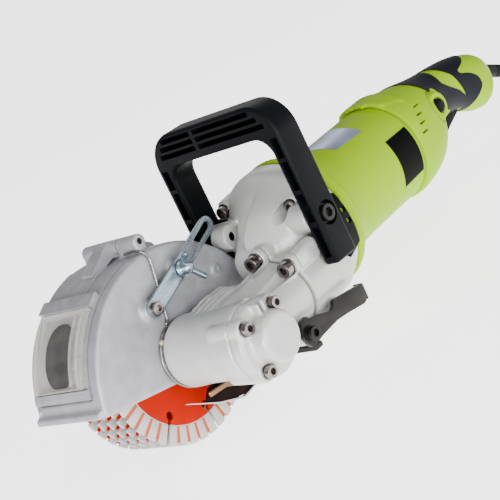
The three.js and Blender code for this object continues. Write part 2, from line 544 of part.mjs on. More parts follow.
// ---------------------------------------------------------------- cord
const reliefLength = 52;
const reliefDirection = [-Math.cos(reliefTilt), 0, -Math.sin(reliefTilt)];
function alongRelief(distance) {
  return reliefStart.map((value, i) => value + distance * reliefDirection[i]);
}
const relief = turned([[-reliefLength, 5.6], [-8, 6.4], [4, 6.4]], 14).rotateZ(-Math.PI / 2);
piece('strain_relief', solid(relief.rotateY(-reliefTilt).translate(...reliefStart)), rubber);
const cordFloor = FLOOR_Z + CORD_R + 0.05;
const entryY = COIL_Y - (COIL_OUTER - CORD_R);
const cordPoints = [alongRelief(reliefLength + GAP), alongRelief(reliefLength + 14), [-499, 36, -16],
  [-519, 36, -36], [-541, 36, -52], [-564, 36, cordFloor + 2.6], [-588, 36, cordFloor], [-604, 36, cordFloor]];
const coilRing = new THREE.LatheGeometry([[COIL_INNER, 0.05], [COIL_OUTER, 0.05], [COIL_OUTER, 18],
  [COIL_INNER, 18], [COIL_INNER, 0.05]].map(([r, z]) => new THREE.Vector2(r, z)), 28);
piece('cord_coil', solid(coilRing.rotateX(Math.PI / 2).translate(COIL_X, COIL_Y, FLOOR_Z)), rubber);
const coilRoom = solid(new THREE.CylinderGeometry(COIL_OUTER + GAP, COIL_OUTER + GAP, 60, 28)
  .rotateX(Math.PI / 2).translate(COIL_X, COIL_Y, FLOOR_Z));
piece('cord_tube', cut(sweep(cordPoints, polygon(CORD_R, 10), 12), coilRoom), rubber);
const plugShape = outline([[0, -9], [10, -13], [34, -15], [38, -12], [38, 12], [34, 15], [10, 13], [0, 9]]);
const plugBody = new THREE.ExtrudeGeometry(plugShape, { depth: 24, bevelEnabled: false }).translate(0, 0, 0.05);
const pins = [-6, 6].map((side) => rodX(2.2, 2.2, 37, 56, side, 12, 12));
const plugReach = COIL_OUTER - 2 * CORD_R;
const plugStart = Math.sqrt(COIL_OUTER ** 2 - (plugReach - 5) ** 2) + GAP;
piece('plug', union(solid(plugBody), ...pins).rotate([0, 0, 90])
  .translate([COIL_X - plugReach - 4, COIL_Y + plugStart, FLOOR_Z]), black);

// ---------------------------------------------------------------- guard, in its own axes
const guard = new THREE.Group();
guard.rotation.y = -GUARD_PITCH;
root.add(guard);

function toGuard([x, z]) {
  const [c, s] = [Math.cos(GUARD_PITCH), Math.sin(GUARD_PITCH)];
  return [x * c + z * s, z * c - x * s];
}
const hinge = toGuard([HINGE_X, HINGE_Z]);
const strapFoot = toGuard([12.9, 42.3]);
const wingAt = toGuard([-26.3, 52.6]);
const strapTip = toGuard([-66, 66.2]);

function guardOutline(r, chord, back) {
  const shape = new THREE.Shape();
  const start = Math.asin((chord - GUARD_CZ) / r);
  const end = Math.acos((back - GUARD_CX) / r);
  shape.absarc(GUARD_CX, GUARD_CZ, r, start, end, false);
  shape.lineTo(back, chord);
  return shape;
}

// A sector of the rim between two angles, used for the door and the opening it closes.
function rimSector(r0, r1, from, to, y0, y1) {
  const shape = new THREE.Shape();
  shape.absarc(GUARD_CX, GUARD_CZ, r1, from, to, false);
  shape.absarc(GUARD_CX, GUARD_CZ, r0, to, from, true);
  return plate(shape, y0, y1, 7);
}
const doorLow = DOOR_LOW - GUARD_PITCH;
const doorHigh = DOOR_HIGH - GUARD_PITCH;
const slack = 0.008;

function makeGuardShell() {
  const hollow = guardOutline(GUARD_R - GUARD_WALL, GUARD_CHORD - 20, GUARD_BACK + GUARD_WALL);
  const shell = cut(plate(guardOutline(GUARD_R, GUARD_CHORD, GUARD_BACK), GUARD_FAR, GUARD_NEAR, 16),
    plate(hollow, GUARD_FAR + GUARD_WALL, GUARD_NEAR - GUARD_WALL, 16));
  const doorway = rimSector(GUARD_R - 10, GUARD_R + 10, doorLow - slack, doorHigh + slack, DOOR_FAR, DOOR_NEAR);
  const knuckles = [[-12.2, 10], [-52, -39.8]].map(([y0, y1]) => rodY(5.6, 5.6, y0, y1, ...hinge, 12)
    .add(box(hinge[0] - 5, hinge[0] + 4, y0, y1, hinge[1] - 13, hinge[1])));
  const foot = box(GUARD_CX + 80, GUARD_CX + GUARD_R + 3, GUARD_FAR, DOOR_NEAR + 6, GUARD_CHORD, GUARD_CHORD + 6);
  const bosses = [strapFoot, wingAt].map((at) => rodY(6, 5.6, GUARD_NEAR - 1, STRAP_Y0 - GAP, ...at, 12));
  const screwBores = [strapFoot, wingAt].map((at) => rodY(2.8, 2.8, GUARD_NEAR - 8, 40, ...at, 8));
  const neck = rodY(NECK_R + 2 * GAP, NECK_R + 2 * GAP, 0, 40, 0, 0, 24);
  const pinBore = rodY(2.5, 2.5, -80, 40, ...hinge, 8);
  return cut(union(shell, foot, ...knuckles, ...bosses), doorway, neck, pinBore, ...screwBores);
}
piece('guard_shell', makeGuardShell(), casting, guard);
piece('hinge_pin', rodY(2.1, 2.1, -51.5, 9.5, ...hinge, 8), steel, guard);

const strapPlate = cut(plate(stadium(strapFoot, strapTip, 6.5), STRAP_Y0, STRAP_Y1, 4),
  plate(stadium(wingAt, strapTip, 3.3), STRAP_Y0 - 1, STRAP_Y1 + 1, 3),
  rodY(2.8, 2.8, STRAP_Y0 - 1, STRAP_Y1 + 1, ...strapFoot, 8));
piece('slotted_strap', strapPlate, zinc, guard);
piece('strap_screw', socketScrewY(...strapFoot, GUARD_NEAR - 2, STRAP_Y1 + GAP, 2.4, 5, 4), steel, guard);

function makeWingBolt() {
  const head = STRAP_Y1 + GAP;
  const stem = rodY(2.4, 2.4, GUARD_NEAR - 2, head + 1, 0, 0, 8);
  const collar = rodY(7, 6.4, head, head + 1.6, 0, 0, 14).add(rodY(5, 4, head + 1.5, head + 9, 0, 0, 10));
  const wing = outline([[-3, head + 4], [3, head + 4], [15, head + 13], [14, head + 17], [10, head + 16],
    [2, head + 9], [-2, head + 9], [-10, head + 16], [-14, head + 17], [-15, head + 13]]);
  const wings = solid(new THREE.ExtrudeGeometry(wing, { depth: 3, bevelEnabled: false }).translate(0, 0, -1.5));
  return union(stem, collar, wings).rotate([0, -59.4, 0]).translate([wingAt[0], 0, wingAt[1]]);
}
piece('wing_bolt', makeWingBolt(), zinc, guard);

// The spring coils once round the neck and its long leg hooks over the rim below the hinge.
function makeGuardSpring() {
  const coilR = NECK_R + 2.4;
  const coilY = GUARD_NEAR + 1.5;
  const points = [];
  for (let i = 0; i <= 13; i += 1) {
    const a = THREE.MathUtils.degToRad(-130 + i * 15.5);
    points.push([coilR * Math.cos(a), coilY, coilR * Math.sin(a)]);
  }
  for (const [x, y, z] of [[3, coilY, 29], [0, coilY, 38], [-5, coilY, 53], [-9, coilY, 69], [-7.6, coilY, 78],
    [-6.4, GUARD_NEAR - 1, 80.4], [-6.2, -5, 80]]) {
    const [gx, gz] = toGuard([x, z]);
    points.push([gx, y, gz]);
  }
  const path = new THREE.CatmullRomCurve3(points.map((p) => new THREE.Vector3(...p)), false, 'centripetal');
  return solid(new THREE.ExtrudeGeometry(polygon(0.95, 6), { steps: 36, extrudePath: path }));
}
piece('guard_spring', makeGuardSpring(), steel, guard);

function makeWindowFrame() {
  const panel = rimSector(GUARD_R - GUARD_WALL, GUARD_R + 1, doorLow, doorHigh, DOOR_FAR + GAP, DOOR_NEAR - GAP);
  const pane = rimSector(GUARD_R - 12, GUARD_R + 12, doorLow + 0.09, doorLow + 0.68, DOOR_FAR + 6, DOOR_NEAR - 6);
  const [hx, hz] = hinge;
  const arm = plate(outline([[hx, hz + 5], [hx + 10, hz + 4], [hx + 24, hz - 8], [hx + 30, hz - 14],
    [hx + 26, hz - 17], [hx + 17, hz - 11.5], [hx + 8, hz - 6.2], [hx, hz - 5]]), -39.5, -12.5);
  const knuckle = rodY(5.6, 5.6, -39.5, -12.5, hx, hz, 12);
  const bore = rodY(2.5, 2.5, -80, 40, hx, hz, 8);
  const frame = union(panel, arm, knuckle);
  return cut(frame, pane, bore);
}
piece('window_frame', makeWindowFrame(), casting, guard);
piece('window_lens', rimSector(GUARD_R - 5, GUARD_R - GUARD_WALL - GAP, doorLow + 0.06, doorLow + 0.71,
  DOOR_FAR + 3, DOOR_NEAR - 3), clear, guard);

// ---------------------------------------------------------------- spindle lock lever
function makeLockLever() {
  const [px, pz] = LEVER_PIVOT;
  const arm = plate(outline([[px + 6, pz - 6], [px + 5, pz + 6], [px + 1, pz + 11], [px - 8, pz + 9],
    [px - 27, pz + 2], [px - 34, pz + 7], [px - 67, pz], [px - 66, pz - 13], [px - 60, pz - 14],
    [px - 30, pz - 8], [px - 10, pz - 9.5], [px + 2, pz - 10]]), 88.4, 91.7);
  const tongue = box(px - 6, px + 2, 36, 91.6, pz - 13, pz - 9.4);
  const foot = box(px - 6, px + 24, 36, 41, pz - 13, pz - 9.4);
  return cut(union(arm, tongue, foot), rodY(2.9, 2.9, 60, 120, px, pz, 10));
}
piece('lock_lever', makeLockLever(), darkSteel);

// ---------------------------------------------------------------- stand it on its lowest point
const ownBox = new THREE.Box3();
root.updateMatrixWorld(true);
root.traverse((node) => {
  const onCord = ['strain_relief', 'cord_tube', 'cord_coil', 'plug'].includes(node.name);
  if (node.isMesh && !onCord) ownBox.expandByObject(node, true);
});
const middle = ownBox.getCenter(new THREE.Vector3());
root.position.set(-middle.x, -middle.y, -ownBox.min.z);
const model = new THREE.Group();
model.add(root);

export default model;
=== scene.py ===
"""Hand-held wall chaser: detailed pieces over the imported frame.

Sizes are in millimetres, measured from the middle of the near blade's near face on the spindle axis, with
+X forward along the motor, +Y to the gear-case side and +Z up. at() turns them into metres in the row frame.
"""
import math

import bmesh
import bpy
from mathutils import Matrix, Vector


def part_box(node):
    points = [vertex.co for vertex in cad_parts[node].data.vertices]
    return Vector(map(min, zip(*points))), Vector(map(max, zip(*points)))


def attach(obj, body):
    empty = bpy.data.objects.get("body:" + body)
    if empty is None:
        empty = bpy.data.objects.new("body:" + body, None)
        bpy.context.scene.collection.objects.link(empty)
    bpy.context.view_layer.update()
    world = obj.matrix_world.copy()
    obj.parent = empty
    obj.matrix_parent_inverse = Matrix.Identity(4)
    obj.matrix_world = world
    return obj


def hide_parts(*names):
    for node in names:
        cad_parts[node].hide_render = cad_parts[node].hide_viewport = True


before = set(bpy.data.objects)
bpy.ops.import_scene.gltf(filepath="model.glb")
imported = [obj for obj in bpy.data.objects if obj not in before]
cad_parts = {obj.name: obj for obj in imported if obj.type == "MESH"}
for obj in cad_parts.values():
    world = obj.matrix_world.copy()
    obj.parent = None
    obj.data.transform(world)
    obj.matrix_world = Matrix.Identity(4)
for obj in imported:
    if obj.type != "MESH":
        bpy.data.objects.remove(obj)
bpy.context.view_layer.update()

LOW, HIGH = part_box("blade_1")
ORIGIN = Vector(((LOW[0] + HIGH[0]) / 2, HIGH[1], (LOW[2] + HIGH[2]) / 2))
MM = 0.001
FLOOR = -1000 * ORIGIN.z

MOTOR = (36.0, 23.0)
LAY = (60.0, 0.0)
GUARD_PITCH = math.radians(13.9)
HANDLE_BOLT = (-102.6, 40.3)
LEVER_PIVOT = (-42.0, -22.5)
HINGE = (-14.0, 84.5)
COIL = (-604.0, 94.0)
CORD_R = 4.5
CORD_REST = FLOOR + CORD_R + 0.1
EARS = (98, 44, -62, 212)
EAR_R = 32


def at(x, y, z):
    return ORIGIN + Vector((x, y, z)) * MM


def placed(name, data):
    """A new object in the scene."""
    obj = bpy.data.objects.new(name, data)
    bpy.context.scene.collection.objects.link(obj)
    return obj


def around(centre, radius, degrees):
    angle = math.radians(degrees)
    return (centre[0] + radius * math.cos(angle), centre[1] + radius * math.sin(angle))


# ---------------------------------------------------------------- camera, lights and floor
CAMERA_AT = (594.7, 769.3, 285.7)
CAMERA_RIGHT = (-0.5711, 0.6819, -0.4571)
CAMERA_DOWN = (0.4931, -0.1602, -0.8551)
CAMERA_AHEAD = (-0.6563, -0.7137, -0.2447)
LENS_MM, SENSOR_MM = 100.8, 36
SKY_LIGHT = 0.55
FLOOR_HALF, FLOOR_GLOW = 60, 2.6


def make_camera():
    data = bpy.data.cameras.new("camera")
    data.sensor_width = SENSOR_MM
    data.lens = LENS_MM
    data.clip_start = 0.05
    data.clip_end = 300
    camera = placed("camera", data)
    right, up, back = Vector(CAMERA_RIGHT), -Vector(CAMERA_DOWN), -Vector(CAMERA_AHEAD)
    turn = Matrix((right, up, back)).transposed()
    camera.matrix_world = Matrix.Translation(at(*CAMERA_AT)) @ turn.to_4x4()
    bpy.context.scene.camera = camera


def make_light(name, place, target, size, power, tint=(1, 1, 1)):
    data = bpy.data.lights.new(name, "AREA")
    data.shape = "RECTANGLE"
    data.size, data.size_y = size
    data.energy = power
    data.color = tint
    light = placed(name, data)
    light.location = Vector(place)
    light.rotation_euler = (Vector(target) - Vector(place)).to_track_quat("-Z", "Y").to_euler()


def make_studio():
    world = bpy.data.worlds.new("studio")
    world.use_nodes = True
    background = world.node_tree.nodes["Background"]
    background.inputs[0].default_value = (1.0, 1.0, 1.0, 1)
    background.inputs[1].default_value = SKY_LIGHT
    bpy.context.scene.world = world
    make_light("key", (1.25, 0.45, 0.12), (0.0, 0.02, 0.03), (0.6, 0.5), 24)
    make_light("top", (0.2, 0.9, 1.5), (-0.05, 0, 0.1), (0.5, 0.5), 5)
    make_light("front", (0.45, 1.35, 0.3), (0.0, 0.05, 0.02), (0.6, 0.5), 12.5)
    make_light("back", (-1.0, -0.9, 1.1), (-0.05, 0, 0.1), (1.0, 0.6), 4)
    mesh = bpy.data.meshes.new("floor")
    h = FLOOR_HALF
    mesh.from_pydata([(-h, -h, 0), (h, -h, 0), (h, h, 0), (-h, h, 0)], [], [(0, 1, 2, 3)])
    floor = placed("floor", mesh)
    look = bpy.data.materials.new("floor")
    look.use_nodes = True
    tree = look.node_tree
    shader = tree.nodes["Principled BSDF"]
    shader.inputs["Roughness"].default_value = 0.8
    shader.inputs["Base Color"].default_value = (0.93, 0.93, 0.94, 1)
    shader.inputs["Emission Color"].default_value = (1, 1, 1, 1)
    shader.inputs["Emission Strength"].default_value = FLOOR_GLOW
    noise = tree.nodes.new("ShaderNodeTexNoise")
    noise.inputs["Scale"].default_value = 40
    bump = tree.nodes.new("ShaderNodeBump")
    bump.inputs["Strength"].default_value = 0.02
    tree.links.new(noise.outputs["Fac"], bump.inputs["Height"])
    tree.links.new(bump.outputs["Normal"], shader.inputs["Normal"])
    floor.data.materials.append(look)


# ---------------------------------------------------------------- materials
def shader_of(name, rough, metallic):
    look = bpy.data.materials.new(name)
    look.use_nodes = True
    shader = look.node_tree.nodes["Principled BSDF"]
    shader.inputs["Roughness"].default_value = rough
    shader.inputs["Metallic"].default_value = metallic
    return look, look.node_tree, shader


def noise_of(tree, scale, stretch=(1, 1, 1), detail=3.0):
    """Noise in the object's own space; stretch above 1 makes it finer along that axis."""
    place = tree.nodes.new("ShaderNodeTexCoord")
    mapping = tree.nodes.new("ShaderNodeMapping")
    mapping.inputs["Scale"].default_value = stretch
    noise = tree.nodes.new("ShaderNodeTexNoise")
    noise.inputs["Scale"].default_value = scale
    noise.inputs["Detail"].default_value = detail
    tree.links.new(place.outputs["Object"], mapping.inputs["Vector"])
    tree.links.new(mapping.outputs["Vector"], noise.inputs["Vector"])
    return noise.outputs["Fac"]


def ramp_of(tree, value, stops):
    ramp = tree.nodes.new("ShaderNodeValToRGB")
    band = ramp.color_ramp
    while len(band.elements) < len(stops):
        band.elements.new(0.5)
    for element, (place, color) in zip(band.elements, stops):
        element.position = place
        element.color = (*color, 1)
    tree.links.new(value, ramp.inputs["Fac"])
    return ramp.outputs["Color"]


def range_of(tree, value, low, high):
    node = tree.nodes.new("ShaderNodeMapRange")
    node.inputs["From Min"].default_value = 0.3
    node.inputs["From Max"].default_value = 0.7
    node.inputs["To Min"].default_value = low
    node.inputs["To Max"].default_value = high
    tree.links.new(value, node.inputs["Value"])
    return node.outputs["Result"]


def scaled(color, factor):
    return tuple(min(1.0, channel * factor) for channel in color)


def finish_of(name, color, rough, metallic=0.0, grain=900, bump=0.12, depth=0.00015, blotch=35, spread=0.06,
              rough_spread=0.06, stretch=(1, 1, 1), coat=0.0, specular=0.5):
    """A surface with a fine grain in its relief and gloss, and slow changes in its colour."""
    look, tree, shader = shader_of(name, rough, metallic)
    shader.inputs["Coat Weight"].default_value = coat
    shader.inputs["Specular IOR Level"].default_value = specular
    slow = noise_of(tree, blotch, detail=4)
    tint = ramp_of(tree, slow, [(0.3, scaled(color, 1 - spread)), (0.7, scaled(color, 1 + spread))])
    tree.links.new(tint, shader.inputs["Base Color"])
    fine = noise_of(tree, grain, stretch, 2)
    tree.links.new(range_of(tree, fine, rough - rough_spread, rough + rough_spread),
                   shader.inputs["Roughness"])
    relief = tree.nodes.new("ShaderNodeBump")
    relief.inputs["Strength"].default_value = bump
    relief.inputs["Distance"].default_value = depth
    tree.links.new(fine, relief.inputs["Height"])
    tree.links.new(relief.outputs["Normal"], shader.inputs["Normal"])
    return look


def clear_of(name, color, alpha, low=0.9):
    look, tree, shader = shader_of(name, 0.08, 0.0)
    shader.inputs["Alpha"].default_value = alpha
    shader.inputs["Coat Weight"].default_value = 0.4
    slow = noise_of(tree, 90, detail=3)
    tint = ramp_of(tree, slow, [(0.35, scaled(color, low)), (0.7, color)])
    tree.links.new(tint, shader.inputs["Base Color"])
    tree.links.new(range_of(tree, noise_of(tree, 400, (1, 4, 1)), 0.05, 0.16), shader.inputs["Roughness"])
    return look


GREEN = finish_of("green_plastic", (0.24, 0.405, 0.0), 0.42, grain=1500, bump=0.06, spread=0.03,
                  specular=0.03)
BLACK = finish_of("black_plastic", (0.0026, 0.0028, 0.0038), 0.42, grain=1400, bump=0.25, spread=0.15,
                  specular=0.06)
GRIP = finish_of("grip_rubber", (0.004, 0.0045, 0.009), 0.5, grain=1800, bump=0.35, spread=0.12,
                 specular=0.09)
CORD = finish_of("cord_rubber", (0.004, 0.004, 0.005), 0.5, grain=1500, bump=0.2, spread=0.15, specular=0.1)
PAINT = finish_of("grey_paint", (0.44, 0.44, 0.43), 0.36, 0.2, grain=420, bump=0.16, depth=0.0003, blotch=60,
                  spread=0.05, coat=0.2)
CAST = finish_of("bare_casting", (0.33, 0.33, 0.355), 0.5, 0.55, grain=700, bump=0.3, depth=0.0002, blotch=90,
                 spread=0.13, rough_spread=0.10)
STEEL = finish_of("machined_steel", (0.44, 0.44, 0.45), 0.3, 1.0, grain=900, bump=0.1, stretch=(1, 6, 1))
WIRE = finish_of("spring_wire", (0.22, 0.21, 0.20), 0.28, 1.0, grain=900, bump=0.08)
ZINC = finish_of("zinc_plate", (0.26, 0.33, 0.37), 0.28, 0.95, grain=500, bump=0.08, spread=0.16,
                 stretch=(1, 1, 5))
SCREW = finish_of("nickel_screw", (0.21, 0.19, 0.18), 0.2, 1.0, grain=800, bump=0.08, spread=0.2)
GUNMETAL = finish_of("blackened_steel", (0.022, 0.021, 0.020), 0.4, 0.85, grain=500, bump=0.15, spread=0.3,
                     specular=0.2)
DARK = finish_of("laminations", (0.05, 0.05, 0.05), 0.5, 0.8, grain=1200, bump=0.4, stretch=(12, 1, 1))
CORE = finish_of("orange_core", (0.34, 0.0065, 0.0), 0.5, 0.0, grain=900, bump=0.08, spread=0.08,
                 specular=0.015)
SALMON = finish_of("groove_orange", (0.42, 0.075, 0.03), 0.55, 0.0, grain=900, bump=0.1, spread=0.1,
                   specular=0.1)
DIAMOND = finish_of("diamond_rim", (0.43, 0.42, 0.40), 0.55, 0.45, grain=2600, bump=0.6, depth=0.0004,
                    spread=0.16)
COPPER = finish_of("copper_bar", (0.20, 0.115, 0.06), 0.25, 1.0, grain=700, bump=0.1, spread=0.3,
                   stretch=(1, 8, 1))
SILVER = finish_of("silver_label", (0.27, 0.31, 0.43), 0.34, 0.7, grain=120, bump=0.05, spread=0.25,
                   blotch=60, stretch=(0.4, 5, 5))
BRASS = finish_of("spring_clip", (0.55, 0.48, 0.30), 0.3, 0.6, grain=900, bump=0.1)
# The dark window tint below is painted shade: a nearly opaque dark oval for the guard's dark inside seen through
# the window.
WINDOW_PAINTED_SHADE = clear_of("painted_shade_pane", (0.060, 0.056, 0.055), 0.9, 0.45)
# The near-black red below is painted shade, laid as a sheet where the space under the spindle tube is dark.
SHADE = finish_of("painted_shade_black", (0.006, 0.0012, 0.0008), 0.5, 0.0, grain=300, bump=0.2, spread=0.6,
                  blotch=160, specular=0.05)
PLATE = finish_of("dark_label", (0.002, 0.002, 0.002), 0.45, 0.0, grain=700, bump=0.08, spread=0.2,
                  specular=0.025)
LENS = clear_of("clear_lens", (0.60, 0.59, 0.55), 0.36)


# ---------------------------------------------------------------- shapes
def object_of(name, vertices, faces):
    mesh = bpy.data.meshes.new(name)
    mesh.from_pydata([at(*v) for v in vertices], [], faces)
    mesh.update()
    return placed(name, mesh)


def rounded(points, radius, steps=4, closed=False):
    """Rounds the corners of a 2-D line, by at most 45% of the shorter side at each corner."""
    out = []
    count = len(points)
    for i, p in enumerate(points):
        if not closed and i in (0, count - 1):
            out.append(tuple(p))
            continue
        here = Vector(p)
        before, after = Vector(points[i - 1]) - here, Vector(points[(i + 1) % count]) - here
        reach = min(radius, 0.45 * before.length, 0.45 * after.length)
        if reach < 0.02:
            out.append(tuple(p))
            continue
        start, end = here + before.normalized() * reach, here + after.normalized() * reach
        for k in range(steps + 1):
            t = k / steps
            out.append(tuple(start * (1 - t) ** 2 + here * 2 * t * (1 - t) + end * t * t))
    return out


def along_axis(axis, t, p, q):
    """A point t along an axis, with p and q across it in the order of X, Y and Z."""
    return {"X": (t, p, q), "Y": (p, t, q), "Z": (p, q, t)}[axis]


def turned(axis, points, centre, sides=64, soft=0.5):
    """A turned shape. Points are (distance along the axis, radius); both ends close on the axis."""
    profile = rounded([(points[0][0], 0.0), *points, (points[-1][0], 0.0)], soft)
    rings = profile[1:-1]
    vertices, faces = [], []

    def place(t, a, b):
        if axis == "Y":
            a, b = b, a
        return along_axis(axis, t, centre[0] + a, centre[1] + b)

    for t, r in rings:
        for k in range(sides):
            angle = 2 * math.pi * k / sides
            vertices.append(place(t, r * math.cos(angle), r * math.sin(angle)))
    for i in range(len(rings) - 1):
        for k in range(sides):
            n = (k + 1) % sides
            faces.append((i * sides + k, i * sides + n, (i + 1) * sides + n, (i + 1) * sides + k))
    for ring, t in ((0, profile[0][0]), (len(rings) - 1, profile[-1][0])):
        vertices.append(place(t, 0, 0))
        middle = len(vertices) - 1
        for k in range(sides):
            n = (k + 1) % sides
            pair = (ring * sides + n, ring * sides + k) if ring == 0 else (ring * sides + k, ring * sides + n)
            faces.append((*pair, middle))
    return outward(object_of("turned", vertices, faces))


def outward(obj):
    """Turns all faces out."""
    work = bmesh.new()
    work.from_mesh(obj.data)
    bmesh.ops.recalc_face_normals(work, faces=work.faces)
    if work.calc_volume(signed=True) < 0:
        bmesh.ops.reverse_faces(work, faces=work.faces)
    work.to_mesh(obj.data)
    work.free()
    return obj


def rod(axis, r0, r1, a0, a1, centre, sides=48, soft=0.3):
    return turned(axis, [(a0, r0), (a1, r1)], centre, sides, soft)


def prism(axis, points, a0, a1):
    """A flat outline drawn out along an axis: (x, z) for Y, (y, z) for X, (x, y) for Z."""
    count = len(points)
    vertices = [along_axis(axis, t, *p) for t in (a0, a1) for p in points]
    faces = [tuple(range(count)), tuple(range(2 * count - 1, count - 1, -1))]
    faces += [(k, (k + 1) % count, count + (k + 1) % count, count + k) for k in range(count)]
    return outward(object_of("prism", vertices, faces))


def block(x0, x1, y0, y1, z0, z1):
    return prism("Y", [(x0, z0), (x1, z0), (x1, z1), (x0, z1)], y0, y1)


def arc(centre, radius, start, end, steps=12):
    """Points on a circle, angles in degrees."""
    return [around(centre, radius, start + (end - start) * k / steps) for k in range(steps + 1)]


def stadium(a, b, radius, steps=10):
    along = math.degrees(math.atan2(b[1] - a[1], b[0] - a[0]))
    return arc(a, radius, along + 90, along + 270, steps) + arc(b, radius, along - 90, along + 90, steps)


def evaluated(obj):
    """Applies the object's modifiers."""
    view = bpy.context.evaluated_depsgraph_get()
    mesh = bpy.data.meshes.new_from_object(obj.evaluated_get(view))
    old = obj.data
    obj.modifiers.clear()
    obj.data = mesh
    bpy.data.meshes.remove(old)
    return obj


def combine(base, others, operation):
    for other in others:
        step = base.modifiers.new("combine", "BOOLEAN")
        step.object = other
        step.operation = operation
        step.solver = "MANIFOLD"
    evaluated(base)
    for other in others:
        drop(other)
    return base


def drop(obj):
    mesh = obj.data
    bpy.data.objects.remove(obj)
    if mesh.users == 0:
        bpy.data.meshes.remove(mesh)


def union(base, *others):
    return combine(base, others, "UNION")


def cut(base, *others):
    return combine(base, others, "DIFFERENCE")


def common(base, *others):
    return combine(base, others, "INTERSECT")


def copy_of(obj):
    return placed(obj.name, obj.data.copy())


def merged(*objects):
    """Puts several objects' faces into one mesh, without joining them."""
    vertices, faces = [], []
    for obj in objects:
        base = len(vertices)
        vertices += [v.co.copy() for v in obj.data.vertices]
        faces += [tuple(base + i for i in p.vertices) for p in obj.data.polygons]
    mesh = bpy.data.meshes.new("merged")
    mesh.from_pydata(vertices, [], faces)
    mesh.update()
    result = placed("merged", mesh)
    for obj in objects:
        drop(obj)
    return result


def molten(obj, voxel=1.0, rounds=10, factor=0.5):
    """Softens all edges and inner corners as a casting's are."""
    grid = obj.modifiers.new("grid", "REMESH")
    grid.mode = "VOXEL"
    grid.voxel_size = voxel * MM
    soft = obj.modifiers.new("soft", "SMOOTH")
    soft.factor = factor
    soft.iterations = rounds
    return evaluated(obj)


def bevelled(obj, width, segments=3, angle=40):
    edge = obj.modifiers.new("edge", "BEVEL")
    edge.width = width * MM
    edge.segments = segments
    edge.limit_method = "ANGLE"
    edge.angle_limit = math.radians(angle)
    return evaluated(obj)


def moved(obj, matrix):
    obj.data.transform(matrix)
    obj.data.update()
    return obj


def turned_about(obj, axis, degrees, x, y, z):
    """Turns a shape about an axis through a point."""
    place = at(x, y, z)
    turn = Matrix.Rotation(math.radians(degrees), 4, axis)
    return moved(obj, Matrix.Translation(place) @ turn @ Matrix.Translation(-place))


def tube(name, points, radius):
    """A smooth round wire through the points."""
    curve = bpy.data.curves.new(name, "CURVE")
    curve.dimensions = "3D"
    curve.bevel_depth = radius * MM
    curve.bevel_resolution = 4
    curve.resolution_u = 6
    curve.use_fill_caps = True
    line = curve.splines.new("BEZIER")
    line.bezier_points.add(len(points) - 1)
    for knot, p in zip(line.bezier_points, points):
        knot.co = at(*p)
        knot.handle_left_type = knot.handle_right_type = "AUTO"
    return placed(name, curve)


def piece(obj, name, body, look, stands_for=(), smooth=35):
    """Names a shape, gives it its surface and ties it to its body."""
    obj.name = name
    obj.data.name = name
    obj.data.materials.clear()
    obj.data.materials.append(look)
    if obj.type == "MESH":
        obj.data.shade_smooth()
        obj.data.set_sharp_from_angle(angle=math.radians(smooth))
    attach(obj, body)
    if stands_for:
        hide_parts(*([stands_for] if isinstance(stands_for, str) else stands_for))
    return obj


def paint_node(node, look):
    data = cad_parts[node].data
    data.materials.clear()
    data.materials.append(look)


make_camera()
make_studio()


# ---------------------------------------------------------------- cord
COIL_TURNS, COIL_STEPS = 4.25, 64
RELIEF_LEAN, RELIEF_END = 24, 52.6


def relief_point(distance):
    tilt = math.radians(RELIEF_LEAN)
    return (-424.5 - distance * math.cos(tilt), MOTOR[0], 23 - distance * math.sin(tilt))


def coil_point(turns):
    """The cord's middle line in its coil, counted in turns: inwards on the floor, then outwards on top."""
    if turns < 2:
        radius, height = 58 - 9 * turns, CORD_REST
    elif turns < 2.4:
        share = (turns - 2) / 0.4
        radius = 40 - 1.8 * math.sin(math.pi * share)
        height = CORD_REST + 9 * (1 - math.cos(math.pi * share)) / 2
    else:
        radius, height = 40 + 17.5 * (turns - 2.4) / 1.85, CORD_REST + 9
    angle = math.radians(-90 - 360 * turns)
    return (COIL[0] + radius * math.cos(angle), COIL[1] + radius * math.sin(angle), height)


def cord_route():
    route = [relief_point(RELIEF_END), relief_point(58), relief_point(66), (-492.5, 36, -9.6),
             (-499, 36, -16),
             (-509, 36, -26.5), (-519, 36, -36), (-530, 36, -45), (-541, 36, -52), (-552, 36, -56.8),
             (-564, 36, CORD_REST + 2.6), (-576, 36, CORD_REST + 0.7), (-588, 36, CORD_REST),
             (-596, 36, CORD_REST)]
    route += [coil_point(COIL_TURNS * k / COIL_STEPS) for k in range(COIL_STEPS + 1)]
    end = coil_point(COIL_TURNS)
    plug_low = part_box("plug")[0]
    plug_y = (plug_low[1] - ORIGIN.y) / MM
    route += [(end[0], end[1] + (plug_y - 0.4 - end[1]) * t, end[2] - 1.4 * t) for t in (0.35, 0.7, 1.0)]
    return route


cord = tube("cord", cord_route(), CORD_R)
cord.data.resolution_u = 8
piece(cord, "cord", "frame", CORD, ("cord_tube", "cord_coil"))
relief_turns = [(0, 6.3)]
for k in range(5):
    s = 26 + k * 4.6
    r = 6.35 - 0.012 * s
    relief_turns += [(s, r), (s + 0.5, r - 0.75), (s + 2.0, r - 0.75), (s + 2.5, r)]
relief_turns += [(52, 5.5)]
relief = turned("X", [(-s, r) for s, r in reversed(relief_turns)], (0, 0), 40, 0.3)
start = at(*relief_point(0))
lean = Matrix.Rotation(math.radians(-RELIEF_LEAN), 4, "Y")
moved(relief, Matrix.Translation(start) @ lean @ Matrix.Translation(-at(0, 0, 0)))
relief = piece(relief, "strain_relief_boot", "frame", CORD, "strain_relief")


# ---------------------------------------------------------------- motor housing
def round_motor(obj, degrees):
    """Turns a shape drawn about the origin's X line and sets it on the motor's axis."""
    turn = Matrix.Rotation(math.radians(degrees), 4, "X")
    return moved(obj, Matrix.Translation(at(0, *MOTOR)) @ turn @ Matrix.Translation(-at(0, 0, 0)))


